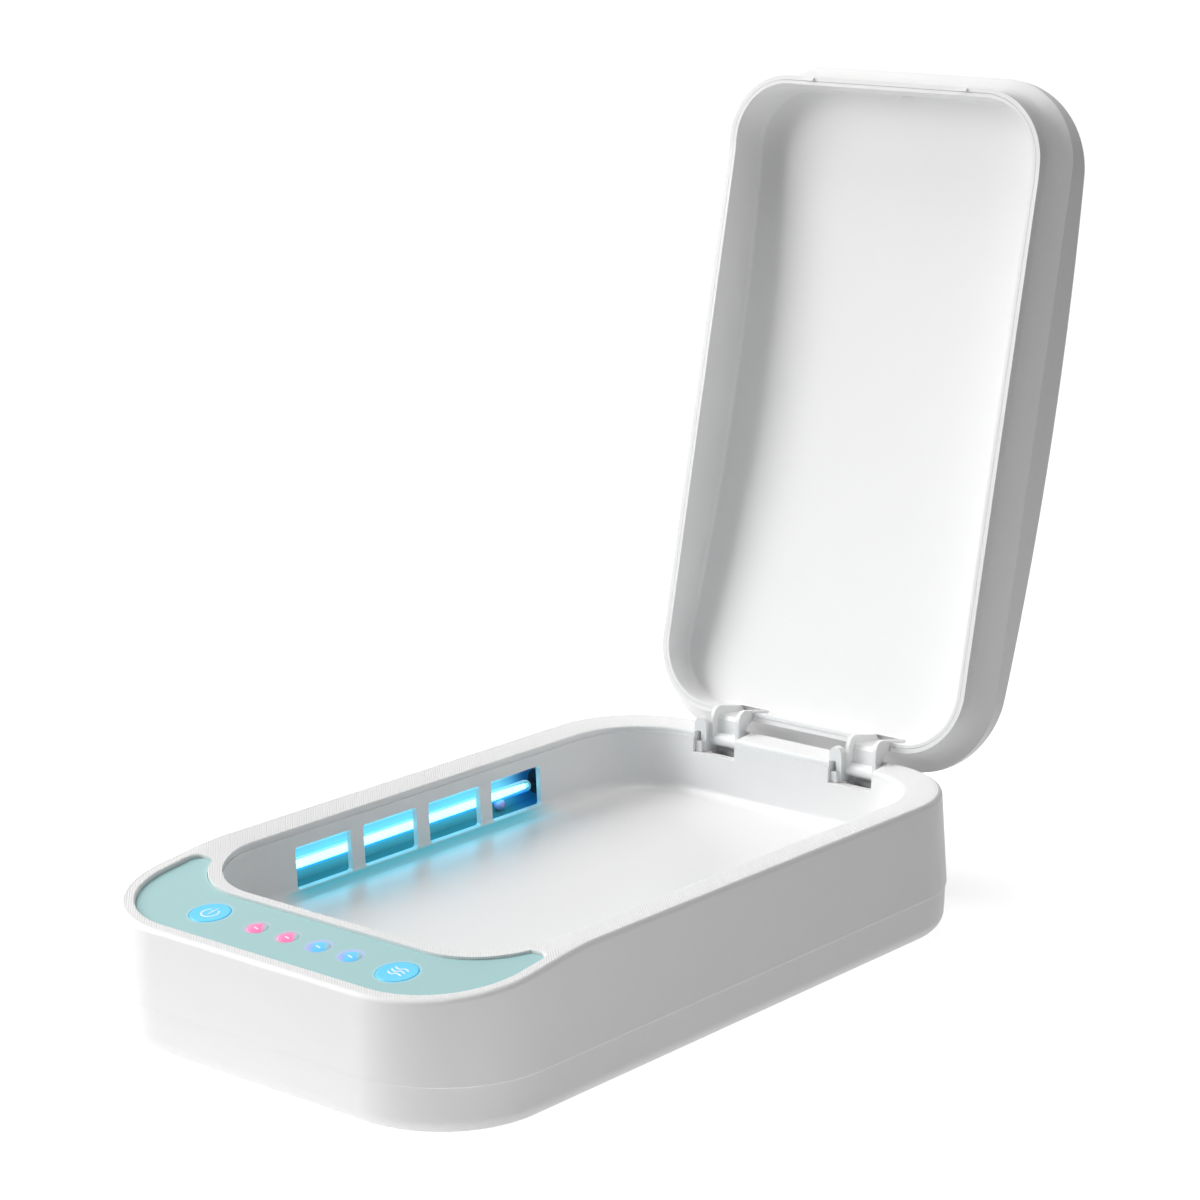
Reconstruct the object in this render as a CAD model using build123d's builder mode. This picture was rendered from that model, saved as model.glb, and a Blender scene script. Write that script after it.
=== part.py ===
"""UV steriliser box: a shallow case with a lamp-lit tray, a sloped control head and a hinged dished lid."""
import os
from math import cos, radians, sin, sqrt

from build123d import *

os.makedirs("parts", exist_ok=True)

# Case outline in millimetres: X right, Y to the back, Z up, origin on the table under the case centre
case_width = 135.0
case_length = 228.0
case_corner = 32.0
foot_height = 2.0
parting_height = 15.0
rim_height = 42.0
rim_width = 131.8
rim_front = -113.3
rim_back = 111.6
rim_corner = 30.0
rim_length = rim_back - rim_front
rim_shift = (rim_back + rim_front) / 2
wall = 2.4
rim_round = 1.5
screw_places = [(-49.5, -97), (49.5, -97), (-45, 104), (45, 104)]
foot_places = [(-44, -78), (44, -78), (-44, 82), (44, 82)]
post_places = [(-30, 34), (-30, 86), (34, 34), (34, 86)]

# Sloped head in front of the tray
head_start = -64.5
head_slope = 0.12
head_cosine = 1 / sqrt(1 + head_slope**2)
button_row = -98.0
head_middle = rim_height + head_slope * (button_row - head_start)
head_plane = Plane(
    origin=(0, button_row, head_middle), x_dir=(1, 0, 0), z_dir=(0, -head_slope, 1)
)

# Tray opening and tray
opening_half = 55.7
opening_front = -83.1
opening_back = 102.8
opening_corner = 24.0
opening_length = opening_back - opening_front
opening_shift = (opening_back + opening_front) / 2
lip_drop = 0.75
tray_floor = 22.0
tray_wall = 1.6
tray_draft = 1.3
tray_top = rim_height - wall - 0.15

# Lamp windows in the tray's long walls
window_first = -42.6
window_pitch = 26.7
window_width = 21.7
window_count = 4
window_low = 24.2
window_high = 36.0
window_middle = window_first + (window_pitch * (window_count - 1) + window_width) / 2

# Lamps behind the windows
lamp_radius = 1.8
lamp_x = 60.2
lamp_z = 28.9
lamp_back = 60.0
lamp_front = -46.0

# Control head
panel_drop = 1.2
panel_thickness = 1.6
button_radius = 5.4
button_gap = 0.15
power_x = -32.0
wave_x = 34.3
power_y = 1.4
wave_y = 0.3
lens_y = 0.9
lens_radius = 2.9
lens_first = -14.6
lens_pitch = 10.9
board_drop = 8.4
board_thickness = 1.6
inlet_height = 10.3

# Hinge line and lid
open_angle = 102.0
hinge_y = 108.17
hinge_z = 38.63
pin_radius = 1.2
knuckle_radius = 2.0
lid_y = 113.02
lid_z = 44.73
lid_width = 109.8
lid_length = 191.6
lid_corner = 20.0
lid_side_flare = 5.8
lid_back_flare = 5.6
lid_front_flare = 4.3
flare_depth = 8.0
neck_depth = 2.4
skirt_start = 168.0
skirt_slope = 0.10
shell_wall = 1.3
dish_wall = 2.4
dish_rise = 4.5
hinge_centres = (-22.7, 26.95)
arm_half = 5.3
arm_plate = 1.2
pocket_left = 9.9
pocket_right = 6.85
notch_left = 8.6
pocket_front = 101.0
post_front = 104.3
pocket_back = 110.3
pocket_floor = 35.0

lid_tilt = radians(open_angle)
lid_plane = Plane(
    origin=(0, lid_y, lid_z), x_dir=(1, 0, 0), z_dir=(0, -sin(lid_tilt), -cos(lid_tilt))
)
lid_axis = Axis(lid_plane.origin, lid_plane.z_dir)
lid_side_plane = Plane(
    origin=lid_plane.origin, x_dir=(0, -cos(lid_tilt), sin(lid_tilt)), z_dir=(-1, 0, 0)
)


def stepped_block(top):
    """Solid above the flat rim and the sloped head, used to cut parts down to that surface."""
    blend = 6.0
    with BuildPart() as block:
        with BuildSketch(Plane.YZ):
            with BuildLine():
                flat = Line((140, top), (head_start + blend, top))
                bend = TangentArc(
                    flat @ 1,
                    (
                        head_start - blend * head_cosine,
                        top - blend * head_slope * head_cosine,
                    ),
                    tangent=(-1, 0),
                )
                Polyline(
                    bend @ 1,
                    (head_start - 70, top - head_slope * 70),
                    (head_start - 70, 90),
                    (140, 90),
                    (140, top),
                )
            make_face()
        extrude(amount=90, both=True)
    return block.part


def opening_outline(grow):
    """Rounded outline of the tray opening, grown outward by an amount."""
    with Locations((0, opening_shift)):
        RectangleRounded(
            2 * (opening_half + grow), opening_length + 2 * grow, opening_corner + grow
        )


# Upper housing: outer wall, flat ribbed rim, sloped head, panel opening and hinge pockets
with BuildPart() as case_core:
    with BuildSketch(Plane.XY.offset(parting_height - 2)):
        RectangleRounded(case_width - 2 * wall, case_length - 2 * wall, case_corner - wall)
    with BuildSketch(Plane.XY.offset(rim_height)):
        with Locations((0, rim_shift)):
            RectangleRounded(rim_width - 2 * wall, rim_length - 2 * wall, rim_corner - wall)
    loft()
    add(stepped_block(rim_height - wall), mode=Mode.SUBTRACT)

with BuildPart() as rim_dish:
    with BuildSketch(Plane.XY.offset(rim_height - lip_drop)):
        opening_outline(0)
    with BuildSketch(Plane.XY.offset(rim_height + 0.01)):
        with Locations((0, opening_shift + 0.4)):
            RectangleRounded(2 * opening_half + 18.0, opening_length + 14.6, opening_corner + 5.0)
    loft()

with BuildPart() as upper_housing:
    with BuildSketch(Plane.XY.offset(parting_height)):
        RectangleRounded(case_width, case_length, case_corner)
    with BuildSketch(Plane.XY.offset(rim_height)):
        with Locations((0, rim_shift)):
            RectangleRounded(rim_width, rim_length, rim_corner)
    loft()
    add(stepped_block(rim_height), mode=Mode.SUBTRACT)
    rim_edges = upper_housing.edges().filter_by(
        lambda e: e.center().Z > 35 and not (abs(e.center().X) < 1 and abs(e.center().Y) < 90)
    )
    fillet(rim_edges.filter_by(lambda e: e.bounding_box().size.Z < 7), rim_round)
    add(case_core.part, mode=Mode.SUBTRACT)
    # Hinge pocket walls hang below the back rim
    with BuildSketch(Plane.XY.offset(pocket_floor - 1.4)):
        for middle in hinge_centres:
            with Locations((middle + (pocket_right - pocket_left) / 2, 107.3)):
                Rectangle(pocket_left + pocket_right + 4.4, 6.5)
    extrude(amount=rim_height - wall - pocket_floor + 1.4 + 0.5)
    # Long bosses for the four case screws, the front ones tied to the wall by gussets
    with BuildSketch(Plane.XY.offset(5.2)):
        for place in screw_places[:2]:
            with Locations(place):
                Circle(3.2)
            with Locations((place[0] * 1.07, place[1] - 3.4)):
                Rectangle(11, 2, rotation=45 if place[0] < 0 else -45)
    extrude(amount=27.6)
    with BuildSketch(Plane.XY.offset(2)):
        Rectangle(200, 300)
        RectangleRounded(case_width - 7.4, case_length - 7.4, case_corner - 3.7, mode=Mode.SUBTRACT)
    extrude(amount=parting_height - 2, mode=Mode.SUBTRACT)
    with BuildSketch(Plane.XY.offset(5.2)):
        with Locations(*screw_places[2:]):
            Circle(2.8)
    extrude(amount=35)
    with BuildSketch(Plane.XY.offset(5.2)):
        with Locations(*screw_places):
            Circle(1.15)
    extrude(amount=12, mode=Mode.SUBTRACT)
    # Tray opening with its dished border
    with BuildSketch(Plane.XY.offset(rim_height - 12)):
        opening_outline(0)
    extrude(amount=14, mode=Mode.SUBTRACT)
    add(rim_dish.part, mode=Mode.SUBTRACT)
    # Crescent opening for the panel
    with BuildSketch(head_plane.offset(-8)):
        with Locations((0, 22.2)):
            RectangleRounded(123.4, 67, 25.5)
        with Locations((0, 41.8)):
            RectangleRounded(115.8, 60, 24, mode=Mode.SUBTRACT)
        with Locations((0, 55.5)):
            Rectangle(140, 60, mode=Mode.SUBTRACT)
        fillet(vertices().filter_by(lambda v: v.Y > 25 and abs(v.X) > 60), 3.0)
        fillet(vertices().filter_by(lambda v: v.Y > 25 and abs(v.X) < 57), 1.3)
    extrude(amount=12, mode=Mode.SUBTRACT)
    # Hinge pockets open to the top and, through a narrower notch, to the tray
    with BuildSketch(Plane.XY.offset(pocket_floor)):
        for middle in hinge_centres:
            with Locations((middle + (pocket_right - pocket_left) / 2, (post_front + pocket_back) / 2)):
                Rectangle(pocket_left + pocket_right, pocket_back - post_front)
            with Locations((middle + (pocket_right - notch_left) / 2, (pocket_front + pocket_back) / 2)):
                Rectangle(notch_left + pocket_right, pocket_back - pocket_front)
    extrude(amount=12, mode=Mode.SUBTRACT)
    with BuildSketch(Plane.XY.offset(pocket_floor - 2)):
        for middle in hinge_centres:
            with Locations((middle, 107.2)):
                Rectangle(8.6, 4.4)
    extrude(amount=4, mode=Mode.SUBTRACT)
    # Bearing bores in the right wall of each pocket
    for middle in hinge_centres:
        with Locations(Location((middle + pocket_right + 0.9, hinge_y, hinge_z), (0, 90, 0))):
            Cylinder(pin_radius + 0.1, 2.0, mode=Mode.SUBTRACT)
    # Tongue that registers in the lower shell
    with BuildSketch(Plane.XY.offset(parting_height - 1.6)):
        RectangleRounded(case_width - 3.2, case_length - 3.2, case_corner - 1.6)
        RectangleRounded(case_width - 5.8, case_length - 5.8, case_corner - 2.9, mode=Mode.SUBTRACT)
    extrude(amount=2.2)
upper_housing.part.label = "upper_housing"
export_step(upper_housing.part, "parts/upper_housing.step")

# Bearing posts: a slotted arch in front, a low block that holds the pin, and a small stop block
with BuildPart() as bearing_posts:
    for middle in hinge_centres:
        post_middle = middle - pocket_left + 2.25
        with BuildSketch(Plane.XZ.offset(-post_front - 0.1)):
            with Locations((post_middle, (pocket_floor + 43.2) / 2 + 0.025)):
                SlotOverall(43.15 - pocket_floor + 4.3, 4.3, rotation=90)
            with Locations((post_middle, pocket_floor - 4.95)):
                Rectangle(10, 10, mode=Mode.SUBTRACT)
        extrude(amount=-2.1)
        with BuildSketch(Plane.XY.offset(pocket_floor + 0.05)):
            with Locations((post_middle, 108.3)):
                Rectangle(4.3, 3.8)
        extrude(amount=5.6)
        with BuildSketch(Plane.XZ.offset(-post_front)):
            with Locations((post_middle - 0.25, hinge_z + 0.7)):
                SlotOverall(3.6, 1.0, rotation=90)
        extrude(amount=-2.5, mode=Mode.SUBTRACT)
        with Locations(Location((post_middle + 1.2, hinge_y, hinge_z), (0, 90, 0))):
            Cylinder(pin_radius + 0.1, 2.2, mode=Mode.SUBTRACT)
        with BuildSketch(Plane.XY.offset(pocket_floor + 0.05)):
            with Locations((post_middle + 0.25, 103.85)):
                RectangleRounded(2.3, 1.3, 0.3)
        extrude(amount=3.2)
bearing_posts.part.label = "bearing_posts"
export_step(bearing_posts.part, "parts/bearing_posts.step")

# Lower shell with a rounded bottom edge, screw wells, board posts and the inlet window
with BuildPart() as bottom_shell:
    with BuildSketch(Plane.XY.offset(foot_height)):
        RectangleRounded(case_width - 1.6, case_length - 1.6, case_corner - 0.8)
    with BuildSketch(Plane.XY.offset(parting_height - 0.05)):
        RectangleRounded(case_width - 0.7, case_length - 0.7, case_corner - 0.35)
    loft()
    fillet(bottom_shell.faces().sort_by(Axis.Z)[0].edges(), 5)
    with BuildSketch(Plane.XY.offset(foot_height + wall)):
        RectangleRounded(case_width - 6.6, case_length - 6.6, case_corner - 3.3)
    extrude(amount=20, mode=Mode.SUBTRACT)
    with BuildSketch(Plane.XY.offset(parting_height - 1.8)):
        RectangleRounded(case_width - 3.0, case_length - 3.0, case_corner - 1.5)
    extrude(amount=4, mode=Mode.SUBTRACT)
    with BuildSketch(Plane.XY.offset(foot_height + wall)):
        with Locations(*post_places):
            Circle(2.6)
    extrude(amount=2.6)
    with BuildSketch(Plane.XY.offset(foot_height)):
        with Locations(*screw_places):
            Circle(1.5)
    extrude(amount=3, mode=Mode.SUBTRACT)
    with BuildSketch(Plane.XY.offset(foot_height)):
        with Locations(*screw_places):
            Circle(2.8)
    extrude(amount=1.3, mode=Mode.SUBTRACT)
    with BuildSketch(Plane.XY.offset(foot_height)):
        with Locations(*foot_places):
            Circle(6.1)
    extrude(amount=0.8, mode=Mode.SUBTRACT)
    with BuildSketch(Plane.XZ.offset(-case_length / 2 - 1)):
        with Locations((0, inlet_height)):
            SlotOverall(9.6, 3.8)
    extrude(amount=6, mode=Mode.SUBTRACT)
bottom_shell.part.label = "bottom_shell"
export_step(bottom_shell.part, "parts/bottom_shell.step")

# Rubber feet
with BuildPart() as rubber_feet:
    with BuildSketch(Plane.XY):
        with Locations(*foot_places):
            Circle(5.6)
    with BuildSketch(Plane.XY.offset(foot_height + 0.75)):
        with Locations(*foot_places):
            Circle(6.0)
    extrude(rubber_feet.pending_faces[4:], amount=-(foot_height + 0.75), clean=True)
    fillet(rubber_feet.edges().group_by(Axis.Z)[0], 0.6)
rubber_feet.part.label = "rubber_feet"
export_step(rubber_feet.part, "parts/rubber_feet.step")

# Case screws with a cross recess
with BuildPart() as case_screws:
    with BuildSketch(Plane.XY.offset(foot_height + 0.1)):
        with Locations(*screw_places):
            Circle(2.6)
    extrude(amount=1.2)
    with BuildSketch(Plane.XY.offset(foot_height + 1.3)):
        with Locations(*screw_places):
            Circle(1.15)
    extrude(amount=13)
    with BuildSketch(Plane.XY.offset(foot_height + 0.1)):
        with Locations(*screw_places):
            Rectangle(2.6, 0.5)
            Rectangle(0.5, 2.6)
    extrude(amount=0.7, mode=Mode.SUBTRACT)
case_screws.part.label = "case_screws"
export_step(case_screws.part, "parts/case_screws.step")

# Tray with drafted walls, a flange under the rim and four lamp windows on each side
with BuildPart() as tray_hollow:
    with BuildSketch(Plane.XY.offset(tray_floor)):
        opening_outline(-tray_draft - 0.3)
    with BuildSketch(Plane.XY.offset(rim_height)):
        opening_outline(-0.3)
    loft()
    fillet(tray_hollow.faces().sort_by(Axis.Z)[0].edges(), 3.6)

with BuildPart() as tray_liner:
    with BuildSketch(Plane.XY.offset(tray_floor - 1.8)):
        opening_outline(tray_wall - tray_draft - 0.3)
    with BuildSketch(Plane.XY.offset(rim_height)):
        opening_outline(tray_wall - 0.3)
    loft()
    with BuildSketch(Plane.XY.offset(tray_top - 1.4)):
        with Locations((0, opening_shift + 1.2)):
            RectangleRounded(2 * opening_half + 7, opening_length + 2.4, opening_corner + 2)
    extrude(amount=1.4)
    # Stiffening ribs under the floor
    with BuildSketch(Plane.XY.offset(tray_floor - 4.8)):
        for rib_y in (-50, -15, 20):
            with Locations((0, rib_y)):
                Rectangle(92, 1.4)
        with Locations((-30, -15), (30, -15)):
            Rectangle(1.4, 90)
    extrude(amount=3.4)
    add(tray_hollow.part, mode=Mode.SUBTRACT)
    add(stepped_block(tray_top), mode=Mode.SUBTRACT)
    with BuildSketch(Plane.YZ):
        with Locations((window_middle, (window_low + window_high) / 2)):
            with GridLocations(window_pitch, 1, window_count, 1):
                RectangleRounded(window_width, window_high - window_low, 0.9)
    extrude(amount=62, both=True, mode=Mode.SUBTRACT)
    with BuildSketch(Plane.XY.offset(tray_top - 3)):
        with Locations(*screw_places[2:]):
            Circle(3.1)
    extrude(amount=6, mode=Mode.SUBTRACT)
    # Notches that let the hinge arms swing into the tray
    with BuildSketch(Plane.XY.offset(pocket_floor)):
        for middle in hinge_centres:
            with Locations((middle + (pocket_right - notch_left) / 2, 104)):
                Rectangle(notch_left + pocket_right, 8)
    extrude(amount=12, mode=Mode.SUBTRACT)
    with BuildSketch(Plane.XY.offset(pocket_floor - 4)):
        for middle in hinge_centres:
            with Locations((middle + (pocket_right - pocket_left) / 2, 107.9)):
                Rectangle(pocket_left + pocket_right + 5, 8)
    extrude(amount=14, mode=Mode.SUBTRACT)
tray_liner.part.label = "tray_liner"
export_step(tray_liner.part, "parts/tray_liner.step")

# Crescent control panel with a hidden gluing flange
lens_places = [(lens_first + lens_pitch * i, lens_y) for i in range(4)]
button_places = [(power_x, power_y), (wave_x, wave_y)]
with BuildPart() as control_panel:
    with BuildSketch(head_plane.offset(-panel_drop - panel_thickness)):
        with Locations((0, 22.2)):
            RectangleRounded(123.1, 66.7, 25.35)
        with Locations((0, 41.8)):
            RectangleRounded(116.1, 60.3, 24.15, mode=Mode.SUBTRACT)
        with Locations((0, 55.35)):
            Rectangle(140, 60, mode=Mode.SUBTRACT)
        fillet(vertices().filter_by(lambda v: v.Y > 25 and abs(v.X) > 60), 2.85)
        fillet(vertices().filter_by(lambda v: v.Y > 25 and abs(v.X) < 57), 1.15)
    extrude(amount=panel_thickness)
    with BuildSketch(head_plane.offset(-3.4)):
        with Locations((0, 22.2)):
            RectangleRounded(125.2, 68.8, 26.4)
        with Locations((0, 41.8)):
            RectangleRounded(118.8, 57.8, 26.9, mode=Mode.SUBTRACT)
        with Locations((0, 36)):
            Rectangle(140, 60, mode=Mode.SUBTRACT)
    extrude(amount=0.8)
    with BuildSketch(head_plane.offset(-6)):
        with Locations(*button_places):
            Circle(button_radius + button_gap)
        with Locations(*lens_places):
            Circle(lens_radius + 0.05)
    extrude(amount=8, mode=Mode.SUBTRACT)
control_panel.part.label = "control_panel"
export_step(control_panel.part, "parts/control_panel.step")

# Power button: a disc with a retaining flange, a guide stem and an engraved power mark
with BuildPart() as power_button:
    with BuildSketch(head_plane.offset(-4.6)):
        with Locations(button_places[0]):
            Circle(button_radius + 1.2)
    extrude(amount=1.05)
    with BuildSketch(head_plane.offset(-4.6)):
        with Locations(button_places[0]):
            Circle(button_radius)
    extrude(amount=3.7)
    fillet(power_button.edges().group_by(Axis.Z)[-1], 0.3)
    with BuildSketch(head_plane.offset(-1.0)):
        with Locations(button_places[0]):
            Circle(2.3)
            Circle(1.95, mode=Mode.SUBTRACT)
            with Locations((0, 2.0)):
                Rectangle(1.4, 1.6, mode=Mode.SUBTRACT)
            with Locations((0, 1.6)):
                Rectangle(0.35, 2.2)
    extrude(amount=0.4, mode=Mode.SUBTRACT)
power_button.part.label = "power_button"
export_step(power_button.part, "parts/power_button.step")

# Wave button: the same disc with three wavy lines
with BuildPart() as wave_button:
    with BuildSketch(head_plane.offset(-4.6)):
        with Locations(button_places[1]):
            Circle(button_radius + 1.2)
    extrude(amount=1.05)
    with BuildSketch(head_plane.offset(-4.6)):
        with Locations(button_places[1]):
            Circle(button_radius)
    extrude(amount=3.7)
    fillet(wave_button.edges().group_by(Axis.Z)[-1], 0.3)
    with BuildSketch(head_plane.offset(-1.0)):
        for row in (-1.5, 0, 1.5):
            with Locations((wave_x - 1.1, wave_y + row + 0.2)):
                Rectangle(1.9, 0.35, rotation=22)
            with Locations((wave_x + 0.7, wave_y + row + 0.2)):
                Rectangle(1.9, 0.35, rotation=-16)
    extrude(amount=0.4, mode=Mode.SUBTRACT)
wave_button.part.label = "wave_button"
export_step(wave_button.part, "parts/wave_button.step")

# Indicator lenses, two pink and two blue
with BuildPart() as pink_lenses:
    with BuildSketch(head_plane.offset(-4.4)):
        with Locations(*lens_places[:2]):
            Circle(lens_radius)
    extrude(amount=3.4)
    fillet(pink_lenses.edges().group_by(Axis.Z)[-1], 0.25)
pink_lenses.part.label = "pink_lenses"
export_step(pink_lenses.part, "parts/pink_lenses.step")

with BuildPart() as blue_lenses:
    with BuildSketch(head_plane.offset(-4.4)):
        with Locations(*lens_places[2:]):
            Circle(lens_radius)
    extrude(amount=3.4)
    fillet(blue_lenses.edges().group_by(Axis.Z)[-1], 0.25)
blue_lenses.part.label = "blue_lenses"
export_step(blue_lenses.part, "parts/blue_lenses.step")

# Control board under the head with its switches and light sources
with BuildPart() as control_board:
    with BuildSketch(head_plane.offset(-board_drop - board_thickness)):
        with Locations((0, 0)):
            RectangleRounded(84, 18, 1.5)
        with Locations((-38, 0), (38, 0)):
            Circle(1.1, mode=Mode.SUBTRACT)
    extrude(amount=board_thickness)
control_board.part.label = "control_board"
export_step(control_board.part, "parts/control_board.step")

with BuildPart() as tact_switches:
    with BuildSketch(head_plane.offset(-board_drop)):
        with Locations(*button_places):
            Rectangle(6, 6)
    extrude(amount=2.4)
    with BuildSketch(head_plane.offset(-board_drop + 2.4)):
        with Locations(*button_places):
            Circle(1.6)
    extrude(amount=0.7)
tact_switches.part.label = "tact_switches"
export_step(tact_switches.part, "parts/tact_switches.step")

with BuildPart() as indicator_leds:
    with BuildSketch(head_plane.offset(-board_drop)):
        with Locations(*lens_places):
            Rectangle(3.2, 2.8)
    extrude(amount=1.4)
    with BuildSketch(head_plane.offset(-board_drop + 1.4)):
        with Locations(*lens_places):
            Circle(1.1)
    extrude(amount=0.4)
indicator_leds.part.label = "indicator_leds"
export_step(indicator_leds.part, "parts/indicator_leds.step")

# Board carrier ribs under the head
with BuildPart() as board_carrier:
    with BuildSketch(head_plane.offset(-board_drop - board_thickness - 1.6)):
        with Locations((0, 0)):
            RectangleRounded(88, 20, 2)
            Rectangle(70, 12, mode=Mode.SUBTRACT)
    extrude(amount=1.5)
    with BuildSketch(Plane.XY.offset(foot_height + wall + 0.05)):
        with Locations((-40, -98), (40, -98)):
            Rectangle(4, 10)
    extrude(until=Until.NEXT)
board_carrier.part.label = "board_carrier"
export_step(board_carrier.part, "parts/board_carrier.step")


def lamp_assembly(side, name_lamp, name_sleeve, name_mirror):
    """Lamp tube, end sleeves and curved mirror on one side of the tray."""
    axis_x = side * lamp_x
    length = lamp_back - lamp_front
    with BuildPart() as lamp:
        with BuildSketch(Plane.XZ.offset(-lamp_front)):
            with Locations((axis_x, lamp_z)):
                Circle(lamp_radius)
        extrude(amount=-length)
        fillet(lamp.edges(), 1.2)
    lamp.part.label = name_lamp
    export_step(lamp.part, "parts/" + name_lamp + ".step")
    with BuildPart() as sleeve:
        for start in (lamp_front - 6.2, lamp_back + 3.4):
            with BuildSketch(Plane.XZ.offset(-start)):
                with Locations((axis_x, lamp_z)):
                    RectangleRounded(5.9, 7.0, 2.2)
            extrude(amount=-6.0)
        with BuildSketch(Plane.XZ.offset(-(lamp_back + 0.1))):
            with Locations((axis_x, lamp_z)):
                Circle(1.4)
        extrude(amount=-3.5)
        with BuildSketch(Plane.XZ.offset(-(lamp_front - 1.2))):
            with Locations((axis_x, lamp_z)):
                Circle(1.4)
        extrude(amount=-1.1)
    sleeve.part.label = name_sleeve
    export_step(sleeve.part, "parts/" + name_sleeve + ".step")
    with BuildPart() as mirror:
        with BuildSketch(Plane.XZ.offset(54)):
            with BuildLine():
                Polyline(
                    (side * 57.2, lamp_z - 5.8),
                    (side * 61.6, lamp_z - 5.8),
                    (side * 63.8, lamp_z - 3.2),
                    (side * 63.8, lamp_z + 3.2),
                    (side * 61.6, lamp_z + 6.9),
                    (side * 57.2, lamp_z + 6.9),
                    (side * 57.2, lamp_z + 6.5),
                    (side * 61.4, lamp_z + 6.5),
                    (side * 63.4, lamp_z + 3.0),
                    (side * 63.4, lamp_z - 3.0),
                    (side * 61.4, lamp_z - 5.4),
                    (side * 57.2, lamp_z - 5.4),
                    (side * 57.2, lamp_z - 5.8),
                )
            make_face()
        extrude(amount=-120)
    mirror.part.label = name_mirror
    export_step(mirror.part, "parts/" + name_mirror + ".step")


lamp_assembly(-1, "left_lamp", "left_lamp_sleeves", "left_mirror")
lamp_assembly(1, "right_lamp", "right_lamp_sleeves", "right_mirror")

# Lamp driver board with its transformer and capacitors, on the lower shell's posts
with BuildPart() as driver_board:
    with BuildSketch(Plane.XY.offset(foot_height + wall + 2.65)):
        with Locations((2, 66)):
            RectangleRounded(76, 78, 2)
        with Locations(*post_places):
            Circle(1.2, mode=Mode.SUBTRACT)
    extrude(amount=1.6)
driver_board.part.label = "driver_board"
export_step(driver_board.part, "parts/driver_board.step")

board_top = foot_height + wall + 4.3
with BuildPart() as transformer:
    with BuildSketch(Plane.XY.offset(board_top)):
        with Locations((-10, 56)):
            RectangleRounded(18, 15, 1)
    extrude(amount=1.6)
    with BuildSketch(Plane.XY.offset(board_top + 1.6)):
        with Locations((-10, 56)):
            RectangleRounded(12, 15, 1)
    extrude(amount=5)
    with BuildSketch(Plane.XY.offset(board_top + 6.6)):
        with Locations((-10, 56)):
            RectangleRounded(18, 15, 1)
    extrude(amount=1.6)
transformer.part.label = "transformer"
export_step(transformer.part, "parts/transformer.step")

with BuildPart() as capacitors:
    with BuildSketch(Plane.XY.offset(board_top)):
        with Locations((14, 44), (14, 53), (24, 48)):
            Circle(3.1)
    extrude(amount=7.2)
    fillet(capacitors.edges().group_by(Axis.Z)[-1], 0.5)
capacitors.part.label = "capacitors"
export_step(capacitors.part, "parts/capacitors.step")

# Power inlet: a metal receptacle shell with its tongue
with BuildPart() as power_inlet:
    with BuildSketch(Plane.XZ.offset(-105.2)):
        with Locations((0, inlet_height)):
            SlotOverall(9.0, 3.2)
    extrude(amount=-7.6)
    with BuildSketch(Plane.XZ.offset(-106.4)):
        with Locations((0, inlet_height)):
            SlotOverall(8.4, 2.6)
    extrude(amount=-7.6, mode=Mode.SUBTRACT)
    with BuildSketch(Plane.XZ.offset(-106.2)):
        with Locations((0, inlet_height)):
            Rectangle(6.6, 0.7)
    extrude(amount=-5.0)
power_inlet.part.label = "power_inlet"
export_step(power_inlet.part, "parts/power_inlet.step")


def crown_block(drop, top):
    """Block that lies beyond the lengthwise crowned top of the lid, in lid coordinates."""
    with BuildPart() as block:
        with BuildSketch(lid_side_plane):
            with BuildLine():
                ThreePointArc((-12, 10.2 - drop), (95.8, 20.1 - drop), (203.6, 13.2 - drop))
                Polyline(
                    (203.6, 13.2 - drop), (203.6, top), (-12, top), (-12, 10.2 - drop)
                )
            make_face()
        extrude(amount=90, both=True)
    return block.part


def lid_outline(side, back, front, corner):
    """Rounded outline of the lid, offset by different amounts at the sides, back and front."""
    with Locations((0, lid_length / 2 + (front - back) / 2)):
        RectangleRounded(lid_width + 2 * side, lid_length + front + back, corner)


def skirt_block():
    """Block in front of the rim plane, stepped so that the front skirt follows the sloped head."""
    end = 215.0
    with BuildPart() as block:
        with BuildSketch(lid_side_plane):
            with BuildLine():
                Polyline(
                    (-20, 0),
                    (skirt_start, 0),
                    (end, -skirt_slope * (end - skirt_start)),
                    (end, -20),
                    (-20, -20),
                    (-20, 0),
                )
            make_face()
        extrude(amount=90, both=True)
    return block.part


def lid_body(inset, crown_drop):
    """Neck, concave flare and crowned body of the lid, inset by a wall thickness."""
    flare = [(0.0, 0.0), (1.6, 0.10), (3.3, 0.34), (4.7, 0.68), (flare_depth - neck_depth, 1.0)]
    with BuildPart() as body:
        with BuildSketch(lid_plane.offset(4)):
            lid_outline(-inset, -inset, -inset, lid_corner - inset)
        extrude(amount=-4 - neck_depth)
        for depth, share in flare:
            with BuildSketch(lid_plane.offset(-neck_depth - depth - inset * 0.35 * share)):
                lid_outline(
                    lid_side_flare * share - inset,
                    lid_back_flare * share - inset,
                    lid_front_flare * share - inset,
                    lid_corner + lid_side_flare * share - inset,
                )
        loft()
        with BuildSketch(lid_plane.offset(-flare_depth - inset * 0.35)):
            lid_outline(
                lid_side_flare - inset,
                lid_back_flare - inset,
                lid_front_flare - inset,
                lid_corner + lid_side_flare - inset,
            )
        extrude(amount=-24)
        add(crown_block(crown_drop, 60), mode=Mode.SUBTRACT)
        add(skirt_block(), mode=Mode.SUBTRACT)
    return body.part


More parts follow.
